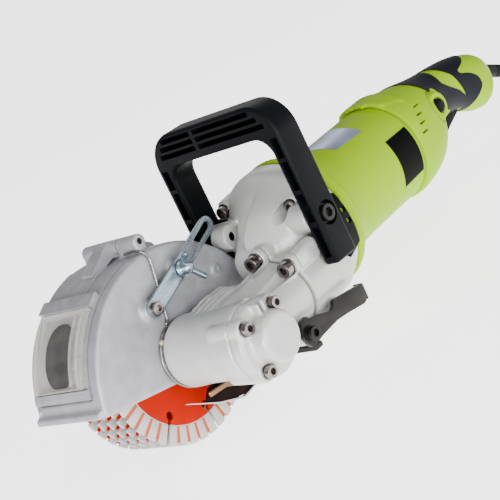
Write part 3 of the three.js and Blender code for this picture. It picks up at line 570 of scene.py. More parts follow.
def make_housing():
    shell = turned("X", [(-257.7, 40), (-257.7, 42.5), (-190, 42.4), (-167, 43.6), (-153, 47.5), (-145, 52.5),
                         (-141.5, 56), (-133.3, 56)], MOTOR, 96, 4)
    lugs = [rod("X", 2, 6.4, -146, -133.3, around(MOTOR, 51, a), 24, 1) for a in (45, 139, 221, -45)]
    body = molten(union(shell, *lugs), 1.1, 8)
    return cut(body, block(-133.3, -120, -60, 120, -60, 120), block(-300, -257.7, -60, 120, -60, 120))


def skin(corners, radius, thickness):
    """A thin label on the barrel. Corners are (x, degrees round the motor), in order."""
    rows, columns = 24, 24
    (xa, aa), (xb, ab), (xc, ac), (xd, ad) = corners
    vertices, faces = [], []
    for level in (radius, radius + thickness):
        for i in range(rows + 1):
            for j in range(columns + 1):
                u, v = i / rows, j / columns
                x = (xa * (1 - u) + xb * u) * (1 - v) + (xd * (1 - u) + xc * u) * v
                a = (aa * (1 - u) + ab * u) * (1 - v) + (ad * (1 - u) + ac * u) * v
                y, z = around(MOTOR, level, a)
                vertices.append((x, y, z))
    layer = (rows + 1) * (columns + 1)

    def spot(i, j, top):
        return top * layer + i * (columns + 1) + j

    for i in range(rows):
        for j in range(columns):
            for top in (0, 1):
                faces.append((spot(i, j, top), spot(i + 1, j, top), spot(i + 1, j + 1, top),
                              spot(i, j + 1, top)))
    for i in range(rows):
        for j in (0, columns):
            faces.append((spot(i, j, 0), spot(i + 1, j, 0), spot(i + 1, j, 1), spot(i, j, 1)))
    for j in range(columns):
        for i in (0, rows):
            faces.append((spot(i, j, 0), spot(i, j + 1, 0), spot(i, j + 1, 1), spot(i, j, 1)))
    return outward(object_of("skin", vertices, faces))


piece(make_housing(), "housing", "frame", GREEN, "motor_housing", 50)
piece(skin([(-253.4, 25.5), (-253.4, -28), (-225, -29.5), (-225, 26)], 42.3, 0.7), "side_label", "frame",
      PLATE)
piece(skin([(-253.4, 154.5), (-253.4, 208), (-225, 209.5), (-225, 154)], 42.3, 0.7), "side_label_far",
      "frame", PLATE)
piece(skin([(-217, 92), (-220, 53), (-186, 56), (-176, 92)], 42.4, 0.7), "top_label", "frame",
      SILVER)


# ---------------------------------------------------------------- rear handle
LOCK = (-312.0, 33.5)


def grip_section(x, y, z, ry, rz, power=2.2):
    """One rounded ring of the handle's skin, standing across X."""
    ring = []
    for k in range(48):
        angle = 2 * math.pi * k / 48
        c, s = math.cos(angle), math.sin(angle)
        reach = (abs(c) ** power + abs(s) ** power) ** (-1 / power)
        ring.append((x, y + ry * reach * c, z + rz * reach * s))
    return ring


def lofted(rings):
    vertices = [v for ring in rings for v in ring]
    n = len(rings[0])
    faces = []
    for i in range(len(rings) - 1):
        for k in range(n):
            m = (k + 1) % n
            faces.append((i * n + k, i * n + m, (i + 1) * n + m, (i + 1) * n + k))
    faces.append(tuple(range(n - 1, -1, -1)))
    faces.append(tuple(range((len(rings) - 1) * n, len(rings) * n)))
    return outward(object_of("lofted", vertices, faces))


# Each row: x, middle z, half width, half height.
HANDLE_RINGS = [
    (-257.9, 23, 43.7, 43.7), (-266, 23, 44.6, 44.6), (-280, 23.3, 43.3, 43.3), (-292, 23.8, 41.0, 41.2),
    (-302, 24.6, 38.0, 38.6), (-312, 26, 33.5, 35.5), (-322, 28.6, 27.5, 31.0), (-331, 31.4, 22.5, 26.4),
    (-341, 33.1, 19.8, 23.2), (-352, 33.3, 19.0, 21.9), (-364, 32.2, 19.0, 21.9), (-376, 29.6, 19.6, 23.0),
    (-386, 26.2, 20.6, 25.0), (-396, 22.9, 21.3, 26.3), (-406, 20.6, 21.4, 26.2), (-415, 19.6, 19.6, 24.0),
    (-422, 19.4, 16.6, 20.2), (-427.5, 19.8, 12.4, 15.0), (-430.6, 20.4, 6.0, 7.5),
]


def handle_shape(extra=0.0):
    rings = [grip_section(x, MOTOR[0], z, ry + extra, rz + extra) for x, z, ry, rz in HANDLE_RINGS]
    return lofted(rings)


def make_handle_body():
    body = handle_shape()
    boss = turned("Y", [(30, 13), (58, 11.6), (64.5, 10.4), (66.3, 9.2)], (LOCK[0], LOCK[1]), 40, 2)
    skirt = prism("Y", rounded([(-338, 16), (-334, 8), (-325, 2), (-306, -4), (-306, 20), (-338, 20)], 4,
                               closed=True), MOTOR[0] - 15, MOTOR[0] + 15)
    crest = skin([(-251.5, 103), (-257, 60), (-277, 46), (-277, 103)], 42.9, 3.6)
    mirror = skin([(-251.5, 77), (-257, 120), (-277, 134), (-277, 77)], 42.9, 3.6)
    body = molten(union(body, boss, skirt, crest, mirror), 1.1, 8)
    collar = turned("Y", [(46, 13.4), (67, 12.6), (70, 11.2), (70, 7.4), (66, 7.2)], LOCK, 48, 1.2)
    union(body, collar)
    room = block(-373, -319, MOTOR[0] - 8.7, MOTOR[0] + 8.7, -20, 24)
    bore = rod("Y", 6.6, 6.6, 40, 80, LOCK, 32, 0)
    groove = cut(rod("Y", 14.5, 14.5, 56.5, 80, LOCK, 48, 0), rod("Y", 13.6, 13.6, 50, 90, LOCK, 48, 0))
    return cut(body, room, bore, groove)


def vent_slots():
    """Four slots on each side of the handle's collar; the far ones are mirrored."""
    middle = at(0, MOTOR[0], 0)
    mirror = Matrix.Translation(middle) @ Matrix.Scale(-1, 4, (0, 1, 0)) @ Matrix.Translation(-middle)
    slots = []
    for side in (1, -1):
        for degrees, x in ((34, -281), (25, -276), (16, -272), (7, -269)):
            slot = round_motor(block(x - 4.5, x + 4.5, 36, 52, -0.8, 0.8), degrees)
            slots.append(outward(moved(slot, mirror)) if side < 0 else slot)
    return slots


handle = cut(make_handle_body(), *vent_slots())
far_half = common(copy_of(handle), block(-500, -200, -100, MOTOR[0] - 0.15, -100, 150))
near_half = common(handle, block(-500, -200, MOTOR[0] + 0.15, 200, -100, 150))
piece(near_half, "handle_half_near", "frame", GREEN, "rear_handle_left", 50)
piece(far_half, "handle_half_far", "frame", GREEN, "rear_handle_right", 50)

# ---------------------------------------------------------------- sleeve, trigger and lock button
SLEEVE = [(-300, 78), (-307, 62), (-312, 53), (-318, 45), (-324, 47), (-331, 44.5), (-337, 36), (-339, 26),
          (-344, 18), (-352, 16.5), (-352, -6), (-366, -8), (-376, 3), (-388, 10), (-397, 17), (-396, 26),
          (-388, 33), (-377, 37.5), (-376, 41), (-392, 44), (-404, 50), (-410, 60), (-404, 78)]
LEAF = [(-347, 60), (-357, 53), (-367, 41), (-374, 17), (-366, 26.5), (-355, 35), (-347.5, 42)]


def make_sleeve():
    outer = handle_shape(0.7)
    inner = handle_shape(-0.8)
    zone = prism("Y", rounded(SLEEVE, 4, closed=True), -10, 90)
    leaf = prism("Y", rounded(LEAF, 2.5, closed=True), -20, 100)
    boss = rod("Y", 14.2, 14.2, -30, 110, LOCK, 40, 0)
    room = block(-374, -318, MOTOR[0] - 9.2, MOTOR[0] + 9.2, -20, 25)
    return cut(common(outer, zone), inner, leaf, boss, room)


piece(make_sleeve(), "sleeve", "frame", GRIP, "grip_sleeve", 40)
trigger = prism("Y", rounded([(-368, 13), (-366, 8.5), (-345, 2), (-331, -5.5), (-324.5, -4), (-324, 12),
                              (-334, 18), (-364, 18)], 2, closed=True), MOTOR[0] - 8, MOTOR[0] + 8)
piece(bevelled(trigger, 1.2), "trigger_key", "trigger_key", BLACK, "trigger")
button = turned("Y", [(54, 6.0), (70.4, 6.0), (72.2, 5.2), (72.8, 3.2)], LOCK, 40, 1.2)
piece(button, "lock_cap", "button", BLACK, "lock_button")


# ---------------------------------------------------------------- D-handle
def handle_local(obj):
    """From where the D-handle is drawn, upright and with its bolts on the origin's Y line, to where it leans."""
    moved(obj, Matrix.Translation(Vector((HANDLE_BOLT[0], MOTOR[0], HANDLE_BOLT[1])) * MM))
    return turned_about(obj, "Y", -3, HANDLE_BOLT[0], MOTOR[0], HANDLE_BOLT[1])


def make_d_handle():
    w, low, top, leg, bar = 66, -35.5, 92.5, 13.5, 25.5
    inner, bar_low = w - leg, top - bar
    line = [(-w, low)] + arc((-w + 26, top - 26), 26, 180, 90, 14) + arc((w - 26, top - 26), 26, 90, 0, 14)
    line += [(w, low), (inner, low)] + arc((inner - 14, bar_low - 14), 14, 0, 90, 10)
    line += arc((-inner + 14, bar_low - 14), 14, 90, 180, 10) + [(-inner, low)]
    frame_shape = bevelled(prism("X", line, -12, 12), 2.6, 4)
    tools = []
    for side in (1, -1):
        for z0, z1 in ((-29.5, -5.6), (-1.3, 20.7), (24.0, 46.5), (49.5, 65.0)):
            y0, y1 = sorted((side * 56.0, side * 62.2))
            tools.append(block(-4, 14, y0, y1, z0, z1))
        tools.append(rod("Y", 9.2, 9.2, *sorted((side * 61.2, side * 70)), (0, 0), 40, 0))
        tools.append(rod("Y", 3.4, 3.4, *sorted((side * 45, side * 70)), (0, 0), 32, 0))
    for z0, y0, y1 in ((73.6, -56, 56), (79.4, -53, 51.5), (85.2, -49, 46)):
        tools.append(block(-2, 14, y0, -16.6, z0, z0 + 3.9))
        tools.append(block(-2, 14, -13.2, y1, z0, z0 + 3.9))
    cut(frame_shape, *tools)
    return handle_local(frame_shape)


piece(make_d_handle(), "carry_handle", "frame", BLACK, "d_handle", 32)


def cap_screw(axis, seat, sign, centre, radius, height, shank, reach, washer=0.0):
    """A socket head screw: its head stands on the seat and its shank goes the other way."""
    base = seat + sign * washer

    def along(a, b, r, sides=40, soft=0.3):
        return rod(axis, r, r, *sorted((a, b)), centre, sides, soft)

    body = along(base, base + sign * height, radius, 48, 0.5)
    union(body, along(base - sign * reach, base + sign * 0.2, shank, 32, 0.2))
    if washer:
        union(body, along(seat, base + sign * 0.05, radius + 0.9, 48, 0.3))
    hexagon = [(centre[0] + radius * 0.6 * math.cos(math.radians(60 * k + 10)),
                centre[1] + radius * 0.6 * math.sin(math.radians(60 * k + 10))) for k in range(6)]
    return cut(body, prism(axis, hexagon, *sorted((base + sign * height * 0.42, base + sign * (height + 1)))))


for name, node, side in (("leg_screw_near", "handle_bolt_left", 1),
                         ("leg_screw_far", "handle_bolt_right", -1)):
    screw = cap_screw("Y", side * 61.4, side, (0, 0), 6.3, 4.8, 2.9, 18, 0.9)
    piece(handle_local(screw), name, "frame", GUNMETAL, node, 30)


def make_wing(side):
    """The slotted lug of the D-handle that lies along the flange."""
    base = -24 if side > 0 else 180 - 29
    corners = [(-113.5, base), (-113.5, base + 53), (-126.6, base + 45), (-127.4, base + 6)]
    plate = skin(corners, 57.6, 3.4)
    holes = []
    for turn in (base + 24, base + 32.5):
        holes.append(round_motor(block(-126.0, -121.5, 50, 70, -1.9, 1.9), turn))
    return cut(plate, *holes)


piece(make_wing(1), "flange_lug_near", "frame", BLACK, (), 30)
piece(make_wing(-1), "flange_lug_far", "frame", BLACK, (), 30)
piece(skin([(-120, -4), (-120, 15), (-132, 15), (-132, -4)], 56.9, 1.0), "housing_tongue", "frame",
      GREEN, (), 30)


# ---------------------------------------------------------------- gear head
JOINT_X = -62.0
FLANGE_SCREWS = ((-110.0, -4.5, 57.5), (-106.5, 66.5, 50.0))
STRAP_LUG = (-85.5, 46)


def make_gear_head():
    bell = turned("X", [(-133, 56), (-119, 55.8), (-116.2, 53.6), (-112.5, 49.5), (-104, 42), (-97, 35.5),
                        (-90, 29), (-84, 23), (-78, 18), (-70, 14)], MOTOR, 96, 4)
    near = turned("X", [(-113, 50), (-106, 44), (-98, 40), (-88, 36), (-80, 31), (-74, 26), (-70, 20)], MOTOR,
                  96, 4)
    near = common(near, block(-115, -60, 42, 120, -60, 120))
    lobe = turned("X", [(-118, 28.6), (JOINT_X - 6.2, 28.2)], LAY, 80, 2)
    ears = [rod("X", 8.4, 7.2, -92, JOINT_X - 6.2, around(LAY, EAR_R, a), 32, 1) for a in EARS]
    bosses = rod("Y", 11.5, 11.5, MOTOR[0] - 52, MOTOR[0] + 52, HANDLE_BOLT, 48, 0.6)
    lug = rod("Y", 9.3, 9, 5, 19.7, STRAP_LUG, 40, 0.8)
    web = block(-102, -85.5, 6, 19, 37.5, 53.5)
    seats = [rod("X", 9, 8, -133, x - back, (y, z), 40, 1) for (x, y, z),
             back in zip(FLANGE_SCREWS, (3.5, 2.5))]
    room = block(-97, 0, -60, 17.2, -60, 100)
    strap_way = block(-97, 0, 17, 23.2, 34, 100)
    body = cut(union(bell, near, lobe, *ears, bosses, *seats), room, strap_way)
    molten(union(body, lug, web), 1.1, 7, 0.5)
    tools = [block(-98, 0, -60, 17.4, -60, 34), block(-94.5, 0, 19.7, 22.9, 34, 100),
             rod("Y", 3.6, 3.6, 0, 22, STRAP_LUG),
             block(JOINT_X - 6.2, 0, 0, 120, -80, 80), block(-160, -133, -60, 140, -80, 120),
             block(-150, -60, MOTOR[0] + 52.2, 140, -20, 90), block(-150, -60, -60, MOTOR[0] - 52.2, -20, 90)]
    for (x, y, z), reach in zip(FLANGE_SCREWS, (60, 40)):
        tools.append(rod("X", 5.7, 5.7, x - 3.6, x + reach, (y, z), 40, 0))
    return cut(body, *tools)


piece(make_gear_head(), "gear_head_casting", "frame", PAINT, "gear_head", 60)
for (x, y, z), height, washer, name, slot, node in zip(
        FLANGE_SCREWS, (5, 4), (0.8, 0.6), ("flange_screw_far", "flange_screw_near"), ("steel", "dark_steel"),
        ("flange_screw", ())):
    piece(cap_screw("X", x - 3.5, 1, (y, z), 4.9, height, 2.5, 5, washer), name, "frame", SCREW, node,
          30)

# The set screw in the lug's bore is black plastic instead of blackened steel: its own dark colour is darkened
# further as painted shade, so that it shows as dark as the shaded bore.
lug_plug = turned("Y", [(8, 3.4), (18.4, 3.4), (18.4, 1.6), (15, 1.6)], STRAP_LUG, 24, 0.3)
piece(lug_plug, "lug_set_screw_painted_shade", "frame", BLACK, (), 30)

# ---------------------------------------------------------------- gear case and cover
CASE_END = 88.0
COVER_Y1 = 99.0
COVER_SCREWS = ((16.8, -17.0), (16.8, 16.6), (-15.6, 17.6))


def make_gear_case():
    x1 = JOINT_X - 5.6
    tube_part = turned("Y", [(17.2, 25.2), (20, 26.6), (36, 25.4), (60, 25.4), (76, 27.2), (CASE_END, 28.2)],
                       (0, 0), 96, 3)
    neck = rod("Y", 22.6, 22.6, 7.5, 18, (0, 0), 64, 0.3)
    arm = turned("X", [(x1, 27.6), (-40, 26.6), (-18, 25.6), (-4, 23.5), (5, 17)], LAY, 80, 5)
    shoulder = prism("Y", [(-48, 23), (-24, 26), (4, 24), (-6, 8), (-48, 4)], 36, 62)
    ears = [rod("X", 8, 7.2, x1, JOINT_X, around(LAY, EAR_R, a), 32, 0.8) for a in EARS]
    ribs = [rod("X", 8, 3.5, JOINT_X - 1, JOINT_X + 24, around(LAY, 23.5, a), 32, 1) for a in EARS]
    lever_boss = rod("Y", 8.6, 8, 62, CASE_END, LEVER_PIVOT, 40, 1)
    lugs = [rod("Y", 6, 7, 66, CASE_END, p, 32, 1) for p in COVER_SCREWS]
    ridges = [tube_ridge(k) for k in range(4)]
    body = union(tube_part, neck, arm, shoulder, *ears, *ribs, lever_boss, *lugs, *ridges)
    molten(body, 1.0, 8)
    tools = [block(-160, JOINT_X - 5.6, -60, 160, -80, 80), block(-100, 60, CASE_END, 120, -80, 80)]
    for a in EARS[:2]:
        tools.append(rod("X", 6.9, 6.9, JOINT_X - 0.4, JOINT_X + 60, around(LAY, EAR_R, a), 40, 0))
    return cut(body, *tools)


def tube_ridge(k):
    """A low cast rib over the shoulder between the arm and the spindle tube."""
    y = 29 + 6.5 * k
    rib = [(-46 + 2 * k, 16), (-46 + 2 * k, 26.4 - k * 0.3), (-22, 28 - 0.2 * k), (-2, 25.8), (0, 16)]
    return prism("Y", rounded(rib, 4), y, y + 1.8)


def make_cover():
    """A low disc with a round end boss, three screw lugs and two thin ribs."""
    y0 = CASE_END + 0.3
    disc = turned("Y",
                  [(y0, 28.2), (COVER_Y1 - 1.5, 27.6), (COVER_Y1, 25), (COVER_Y1 + 0.5, 19.5), (110.4, 18.2),
                        (112.4, 15.5)], (0, 0), 96, 3)
    lugs = [rod("Y", 7.4, 7.2, y0, COVER_Y1 + 0.6, p, 40, 1) for p in COVER_SCREWS]
    ribs = [block(x, x + 2.2, y0, 106, 10, 27) for x in (-4, 1.4)]
    body = molten(union(disc, *lugs, *ribs), 0.9, 7)
    tools = [block(-60, 60, 60, y0, -60, 60)]
    tools += [rod("Y", 5.6, 5.6, COVER_Y1 + 0.2, 130, p, 40, 0) for p in COVER_SCREWS]
    return cut(body, *tools)


piece(make_gear_case(), "gear_case_casting", "frame", PAINT, "gear_case", 60)
piece(make_cover(), "cover_casting", "frame", PAINT, "case_cover", 60)
for k, p in enumerate(COVER_SCREWS, 1):
    piece(cap_screw("Y", COVER_Y1 + 0.2, 1, p, 4.6, 5, 2.1, 8, 0.9), f"cover_cap_screw_{k}", "frame",
          SCREW, f"cover_screw_{k}", 30)
for k, a in enumerate(EARS[:2], 1):
    piece(cap_screw("X", JOINT_X - 0.3, 1, around(LAY, EAR_R, a), 5.6, 6.4, 2.6, 10, 1.5),
          f"joint_cap_screw_{k}", "frame", SCREW, f"case_bolt_{k}", 30)
piece(cap_screw("Y", 92, 1, LEVER_PIVOT, 5.2, 4.4, 2.6, 14, 0.8), "lever_cap_screw", "frame",
      GUNMETAL, "lever_bolt", 30)


# ---------------------------------------------------------------- blades
def sector(inner, outer, start, end, y0, y1, steps=6):
    return prism("Y", arc((0, 0), outer, start, end, steps) + arc((0, 0), inner, end, start, steps), y0, y1)


def make_blade(index):
    """An orange core with eight keyhole slots, an orange band and grey diamond blocks round its rim."""
    y1 = -11.0 * index
    slot_at = [45 * i - 2 for i in range(8)]
    tools = [rod("Y", 11.3, 11.3, -100, 10, (0, 0), 48, 0)]
    for a in slot_at:
        c, s = math.cos(math.radians(a)), math.sin(math.radians(a))
        tools.append(rod("Y", 3.3, 3.3, -100, 10, (45.5 * c, 45.5 * s), 20, 0))
        tools.append(prism("Y", [(45.5 * c - 1.1 * s, 45.5 * s + 1.1 * c),
                                 (45.5 * c + 1.1 * s, 45.5 * s - 1.1 * c),
                                 (70 * c + 1.6 * s, 70 * s - 1.6 * c), (70 * c - 1.6 * s, 70 * s + 1.6 * c)],
                                 -100, 10))
    core = cut(turned("Y", [(y1 - 2.0, 51.6), (y1 - 0.2, 51.6)], (0, 0), 144, 0),
               *[copy_of(t) for t in tools])
    inner = rod("Y", 51.7, 51.7, -100, 10, (0, 0), 144, 0)
    band = cut(turned("Y", [(y1 - 2.0, 64.4), (y1 - 0.3, 64.4)], (0, 0), 144, 0), inner)
    cut(band, *tools)
    blocks = []
    for a in slot_at:
        blocks.append(sector(51.7, 52.3, a + 1.3, a + 43.7, y1 - 2.2, y1, 16))
        for k in range(5):
            start = a + k * 9.0 + (1.3 if k else 1.2)
            end = a + (k + 1) * 9.0 - (1.2 if k == 4 else 1.3)
            blocks.append(sector(52.4, 66.45, start, end, y1 - 2.2, y1, 4))
    return core, band, bevelled(merged(*blocks), 0.2, 2, 60)


for number in range(1, 6):
    core, band, rim = make_blade(number - 1)
    piece(core, f"blade_core_{number}", "blade_stack", CORE, f"blade_{number}", 30)
    piece(band, f"blade_band_{number}", "blade_stack", SALMON if number == 1 else CORE, (), 30)
    piece(rim, f"blade_rim_{number}", "blade_stack", DIAMOND, (), 30)
flange = turned("Y", [(0.3, 11.3), (0.3, 21), (3.6, 21), (5.2, 18), (5.2, 11.3)], (0, 0), 64, 0.5)
piece(flange, "inner_flange_disc", "blade_stack", STEEL, "inner_flange", 30)


# ---------------------------------------------------------------- guard
def in_guard(obj):
    """From the guard's own axes to where it stands, nose up."""
    return turned_about(obj, "Y", -math.degrees(GUARD_PITCH), 0, 0, 0)


def to_guard(x, z):
    c, s = math.cos(GUARD_PITCH), math.sin(GUARD_PITCH)
    return (x * c + z * s, z * c - x * s)


RIM = (-5.4, -12.6)
RIM_R = 91.2
CHORD = -18.7
BACK = -80.0
WALL = 2.8
NEAR, FAR = 14.3, -62.7
DOOR = (19 - 13.9, 86 - 13.9)
DOOR_NEAR, DOOR_FAR = 4.5, -57.5
# Above LEDGE degrees the door has a raised band on its far side, which ends at UPPER_NEAR.
LEDGE, UPPER_NEAR = DOOR[0] + 47, -15.0
STRAP_Y0, STRAP_Y1 = 20.0, 22.5
hinge = to_guard(*HINGE)
strap_foot = to_guard(12.9, 42.3)
wing_at = to_guard(-26.3, 52.6)
strap_tip = to_guard(-66, 66.2)


def guard_line(radius, chord, back, steps=72):
    start = math.degrees(math.asin((chord - RIM[1]) / radius))
    end = math.degrees(math.acos((back - RIM[0]) / radius))
    return arc(RIM, radius, start, end, steps) + [(back, chord)]


def rim_sector(r0, r1, start, end, y0, y1, steps=32):
    return prism("Y", arc(RIM, r1, start, end, steps) + arc(RIM, r0, end, start, steps), y0, y1)


def make_guard():
    shell = bevelled(prism("Y", guard_line(RIM_R, CHORD, BACK), FAR, NEAR), 2.2, 4)
    hollow = prism("Y", guard_line(RIM_R - WALL, CHORD - 20, BACK + WALL), FAR + WALL, NEAR - WALL)
    doorway = rim_sector(RIM_R - 10, RIM_R + 10, DOOR[0] - 0.4, DOOR[1] + 0.4, DOOR_FAR, DOOR_NEAR)
    cut(shell, hollow, doorway)
    added = []
    hx, hz = hinge
    for y0, y1 in ((-12.2, 10), (-52, -39.8)):
        added.append(rod("Y", 5.7, 5.7, y0, y1, hinge, 40, 0.8))
        added.append(prism("Y", [(hx - 6, hz - 13), (hx + 4.5, hz - 13), (hx + 5, hz), (hx - 5, hz)],
                           y0 + 0.3, y1 - 0.3))
    ramp = [(hx - 2, hz + 5.4), (hx - 28, hz - 5.5), (hx - 26, hz - 12), (hx, hz - 10)]
    added.append(prism("Y", ramp, -11.5, -8.5))
    added.append(prism("Y", ramp, -50.5, -47.5))
    foot = [(RIM[0] + 80, CHORD), (RIM[0] + RIM_R + 3, CHORD), (RIM[0] + RIM_R + 3, CHORD + 4.6),
            (RIM[0] + RIM_R + 0.4, CHORD + 6.4), (RIM[0] + 80, CHORD + 6.4)]
    added.append(prism("Y", foot, FAR, DOOR_NEAR + 6))
    lip = [(RIM[0] + 82, CHORD), (RIM[0] + 92.5, CHORD), (RIM[0] + 92.5, CHORD + 11.5),
           (RIM[0] + 84, CHORD + 11.5)]
    added.append(prism("Y", lip, FAR + 3, DOOR_FAR - 0.3))
    for p in (strap_foot, wing_at):
        added.append(rod("Y", 8.0, 5.9, NEAR - 1, STRAP_Y0 - 0.3, p, 40, 0.6))
    mark = rod("Y", 4.4, 4.1, NEAR - 1, NEAR + 1.3, to_guard(-60, 33), 32, 0.3)
    body = molten(union(shell, *added, mark), 1.0, 5)
    tools = [rod("Y", 23.2, 23.2, 0, 40, (0, 0), 64, 0), rod("Y", 2.5, 2.5, -80, 40, hinge, 24, 0),
             rim_sector(RIM_R - 12, RIM_R + 12, DOOR[0] - 0.3, DOOR[1] + 0.3, DOOR_FAR + 0.1,
                        DOOR_NEAR - 0.1),
             rod("Y", 2.6, 2.6, NEAR + 0.2, NEAR + 5, to_guard(-60, 33), 24, 0)]
    tools += [rod("Y", 2.8, 2.8, NEAR - 8, 40, p, 24, 0) for p in (strap_foot, wing_at)]
    return in_guard(cut(body, *tools))


piece(make_guard(), "guard_casting", "guard", CAST, "guard_shell", 55)
pin = cut(rod("Y", 2.2, 2.2, -51.5, 9.5, hinge, 24, 0.3), rod("Y", 0.9, 0.9, 8.2, 12, hinge, 12, 0))
piece(in_guard(pin), "hinge_rod", "guard", GUNMETAL, "hinge_pin", 30)


def make_strap():
    body = prism("Y", stadium(strap_foot, strap_tip, 6.6, 16), STRAP_Y0, STRAP_Y1)
    slot = prism("Y", stadium(wing_at, strap_tip, 3.3, 12), STRAP_Y0 - 1, STRAP_Y1 + 1)
    hole = rod("Y", 2.8, 2.8, STRAP_Y0 - 1, STRAP_Y1 + 1, strap_foot, 24, 0)
    return in_guard(bevelled(cut(body, slot, hole), 0.5, 3))


piece(make_strap(), "slotted_link", "guard", ZINC, "slotted_strap", 30)
foot_screw = cap_screw("Y", STRAP_Y1 + 0.1, 1, strap_foot, 4.6, 3.2, 2.4, 9, 0.7)
piece(in_guard(foot_screw), "link_screw", "guard", SCREW, "strap_screw", 30)


def make_wing_bolt():
    """A stem, a domed hub and two wings that curve outwards."""
    head = STRAP_Y1 + 0.3
    hub = turned("Y", [(NEAR - 2, 2.4), (head, 2.4), (head, 7), (head + 1.5, 6.9), (head + 2.4, 5.4),
                       (head + 7, 4.4), (head + 9.5, 2.6)], (0, 0), 40, 0.6)
    outline = [(-3, head + 4), (3, head + 4), (9, head + 6.6), (15, head + 12), (16.2, head + 16),
               (13.6, head + 17.4),
               (9.4, head + 14.6), (3, head + 9), (-3, head + 9), (-9.4, head + 14.6), (-13.6, head + 17.4),
               (-16.2, head + 16), (-15, head + 12), (-9, head + 6.6)]
    wings = prism("Z", rounded([(x * 0.84, head + (y - head) * 0.9) for x, y in outline], 2.5, closed=True),
                  -1.5, 1.5)
    body = molten(union(hub, wings), 0.45, 4)
    turned_about(body, "Y", -59.4, 0, 0, 0)
    return in_guard(moved(body, Matrix.Translation(Vector((wing_at[0], 0, wing_at[1])) * MM)))


piece(make_wing_bolt(), "wing_screw", "wing", ZINC, "wing_bolt", 50)


def spring_route():
    y = NEAR + 1.4
    points = []
    for k in range(29):
        a = math.radians(-490 + k * 20)
        coil_r = 24.2 + 1.9 * k / 28
        x, z = coil_r * math.cos(a), coil_r * math.sin(a)
        c, s = math.cos(GUARD_PITCH), math.sin(GUARD_PITCH)
        points.append((x * c - z * s, y, x * s + z * c))
    bend = [(6, y, 26), (3, y, 29), (0, y, 38), (-4.6, y, 53), (-9.6, y, 71.4), (-7.4, y, 77.4),
            (-6.6, 13.6, 79.6), (-6.4, 6, 80.4), (-6.2, -4, 80)]
    for a, b in zip(bend, bend[1:]):
        points += [tuple(Vector(a).lerp(Vector(b), t)) for t in (0.08, 0.5, 0.92)]
    return points


piece(tube("spring", spring_route(), 0.95), "guard_wire_spring", "guard", WIRE, "guard_spring")
clip = turned("Y", [(NEAR + 0.6, 2.2), (NEAR + 3.4, 2.0)], (17.6, 17.9), 24, 0.6)
piece(clip, "spring_clip", "guard", BRASS, (), 30)


# ---------------------------------------------------------------- window door
def make_door():
    panel = union(rim_sector(RIM_R - WALL, RIM_R + 1, DOOR[0], LEDGE - 0.3, DOOR_FAR + 0.3, DOOR_NEAR - 0.3),
                  rim_sector(RIM_R - WALL, RIM_R + 1.7, LEDGE - 1, DOOR[1], DOOR_FAR + 0.3, UPPER_NEAR),
                  rim_sector(RIM_R - WALL, RIM_R + 0.5, LEDGE - 1, DOOR[1], UPPER_NEAR - 1, DOOR_NEAR - 0.3))
    hx, hz = hinge
    arm = prism("Y", rounded([(hx, hz + 5.2), (hx + 9, hz + 4.6), (hx + 22, hz - 5.5), (hx + 30, hz - 13),
                              (hx + 25.5, hz - 17.4), (hx + 15, hz - 10.5), (hx + 7, hz - 6), (hx, hz - 5)],
                              2), -29.0,
                UPPER_NEAR - 0.6)
    knuckle = rod("Y", 5.7, 5.7, -39.4, -12.6, hinge, 40, 0.5)
    ledge = rim_sector(RIM_R - 0.5, RIM_R + 5.0, DOOR[0] + 40.5, DOOR[0] + 46.8, DOOR_FAR + 0.6,
                       DOOR_NEAR - 0.6, 8)
    low = rim_sector(RIM_R - 0.5, RIM_R + 3.4, DOOR[0] + 0.3, DOOR[0] + 4.4, DOOR_FAR + 0.6, DOOR_NEAR - 1, 6)
    body = bevelled(union(panel, arm, knuckle, ledge, low), 0.9, 3, 50)
    pane = rim_sector(RIM_R - 12, RIM_R + 12, DOOR[0] + 4.6, DOOR[0] + 40.3, DOOR_FAR + 3.4, DOOR_NEAR - 3.4)
    bore = rod("Y", 2.5, 2.5, -80, 40, hinge, 24, 0)
    return in_guard(cut(body, pane, bore))


piece(make_door(), "door_casting", "window_door", CAST, "window_frame", 35)


def make_lens():
    """A clear moulded tray: a rim that stands proud, stepped sides and a curved pane."""
    a0, a1 = DOOR[0] + 4.9, DOOR[0] + 40.0
    rim = rim_sector(RIM_R - 3.0, RIM_R + 4.2, a0, a1, DOOR_FAR + 3.7, DOOR_NEAR - 3.7)
    room = rim_sector(RIM_R - 0.6, RIM_R + 12, a0 + 1.6, a1 - 1.6, DOOR_FAR + 7.0, DOOR_NEAR - 20)
    step = rim_sector(RIM_R + 1.8, RIM_R + 12, a0 + 0.9, a1 - 0.9, DOOR_FAR + 5.2, DOOR_NEAR - 9)
    slot = rim_sector(RIM_R + 0.2, RIM_R + 12, a0 + 1.6, a1 - 1.6, DOOR_NEAR - 16.5, DOOR_NEAR - 10.5)
    return in_guard(bevelled(cut(rim, room, step, slot), 0.5, 3))


def make_pane():
    """The middle of the window, an upright dark oval, laid just over the clear pane: painted shade for the dark
    inside of the guard seen through it.
    """
    middle, half_y, half_z = (DOOR_FAR + DOOR_NEAR - 5) / 2, 15.5, RIM_R * math.radians(14.6)
    shape = rim_sector(RIM_R - 0.5, RIM_R + 0.1, DOOR[0] + 4.9, DOOR[0] + 40, DOOR_FAR + 4, DOOR_NEAR - 4)
    oval = []
    for k in range(40):
        u, v = math.cos(math.pi * k / 20), math.sin(math.pi * k / 20)
        oval.append((middle + half_y * math.copysign(abs(u) ** 0.8, u),
                     half_z * math.copysign(abs(v) ** 0.8, v)))
    tool = prism("X", oval, 40, 140)
    turned_about(tool, "Y", -(DOOR[0] + 20.6), 0, 0, 0)
    return in_guard(common(shape, moved(tool, Matrix.Translation(Vector((RIM[0], 0, RIM[1])) * MM))))


piece(make_lens(), "door_lens", "window_door", LENS, "window_lens", 30)
piece(make_pane(), "window_painted_shade", "window_door", WINDOW_PAINTED_SHADE, (), 30)


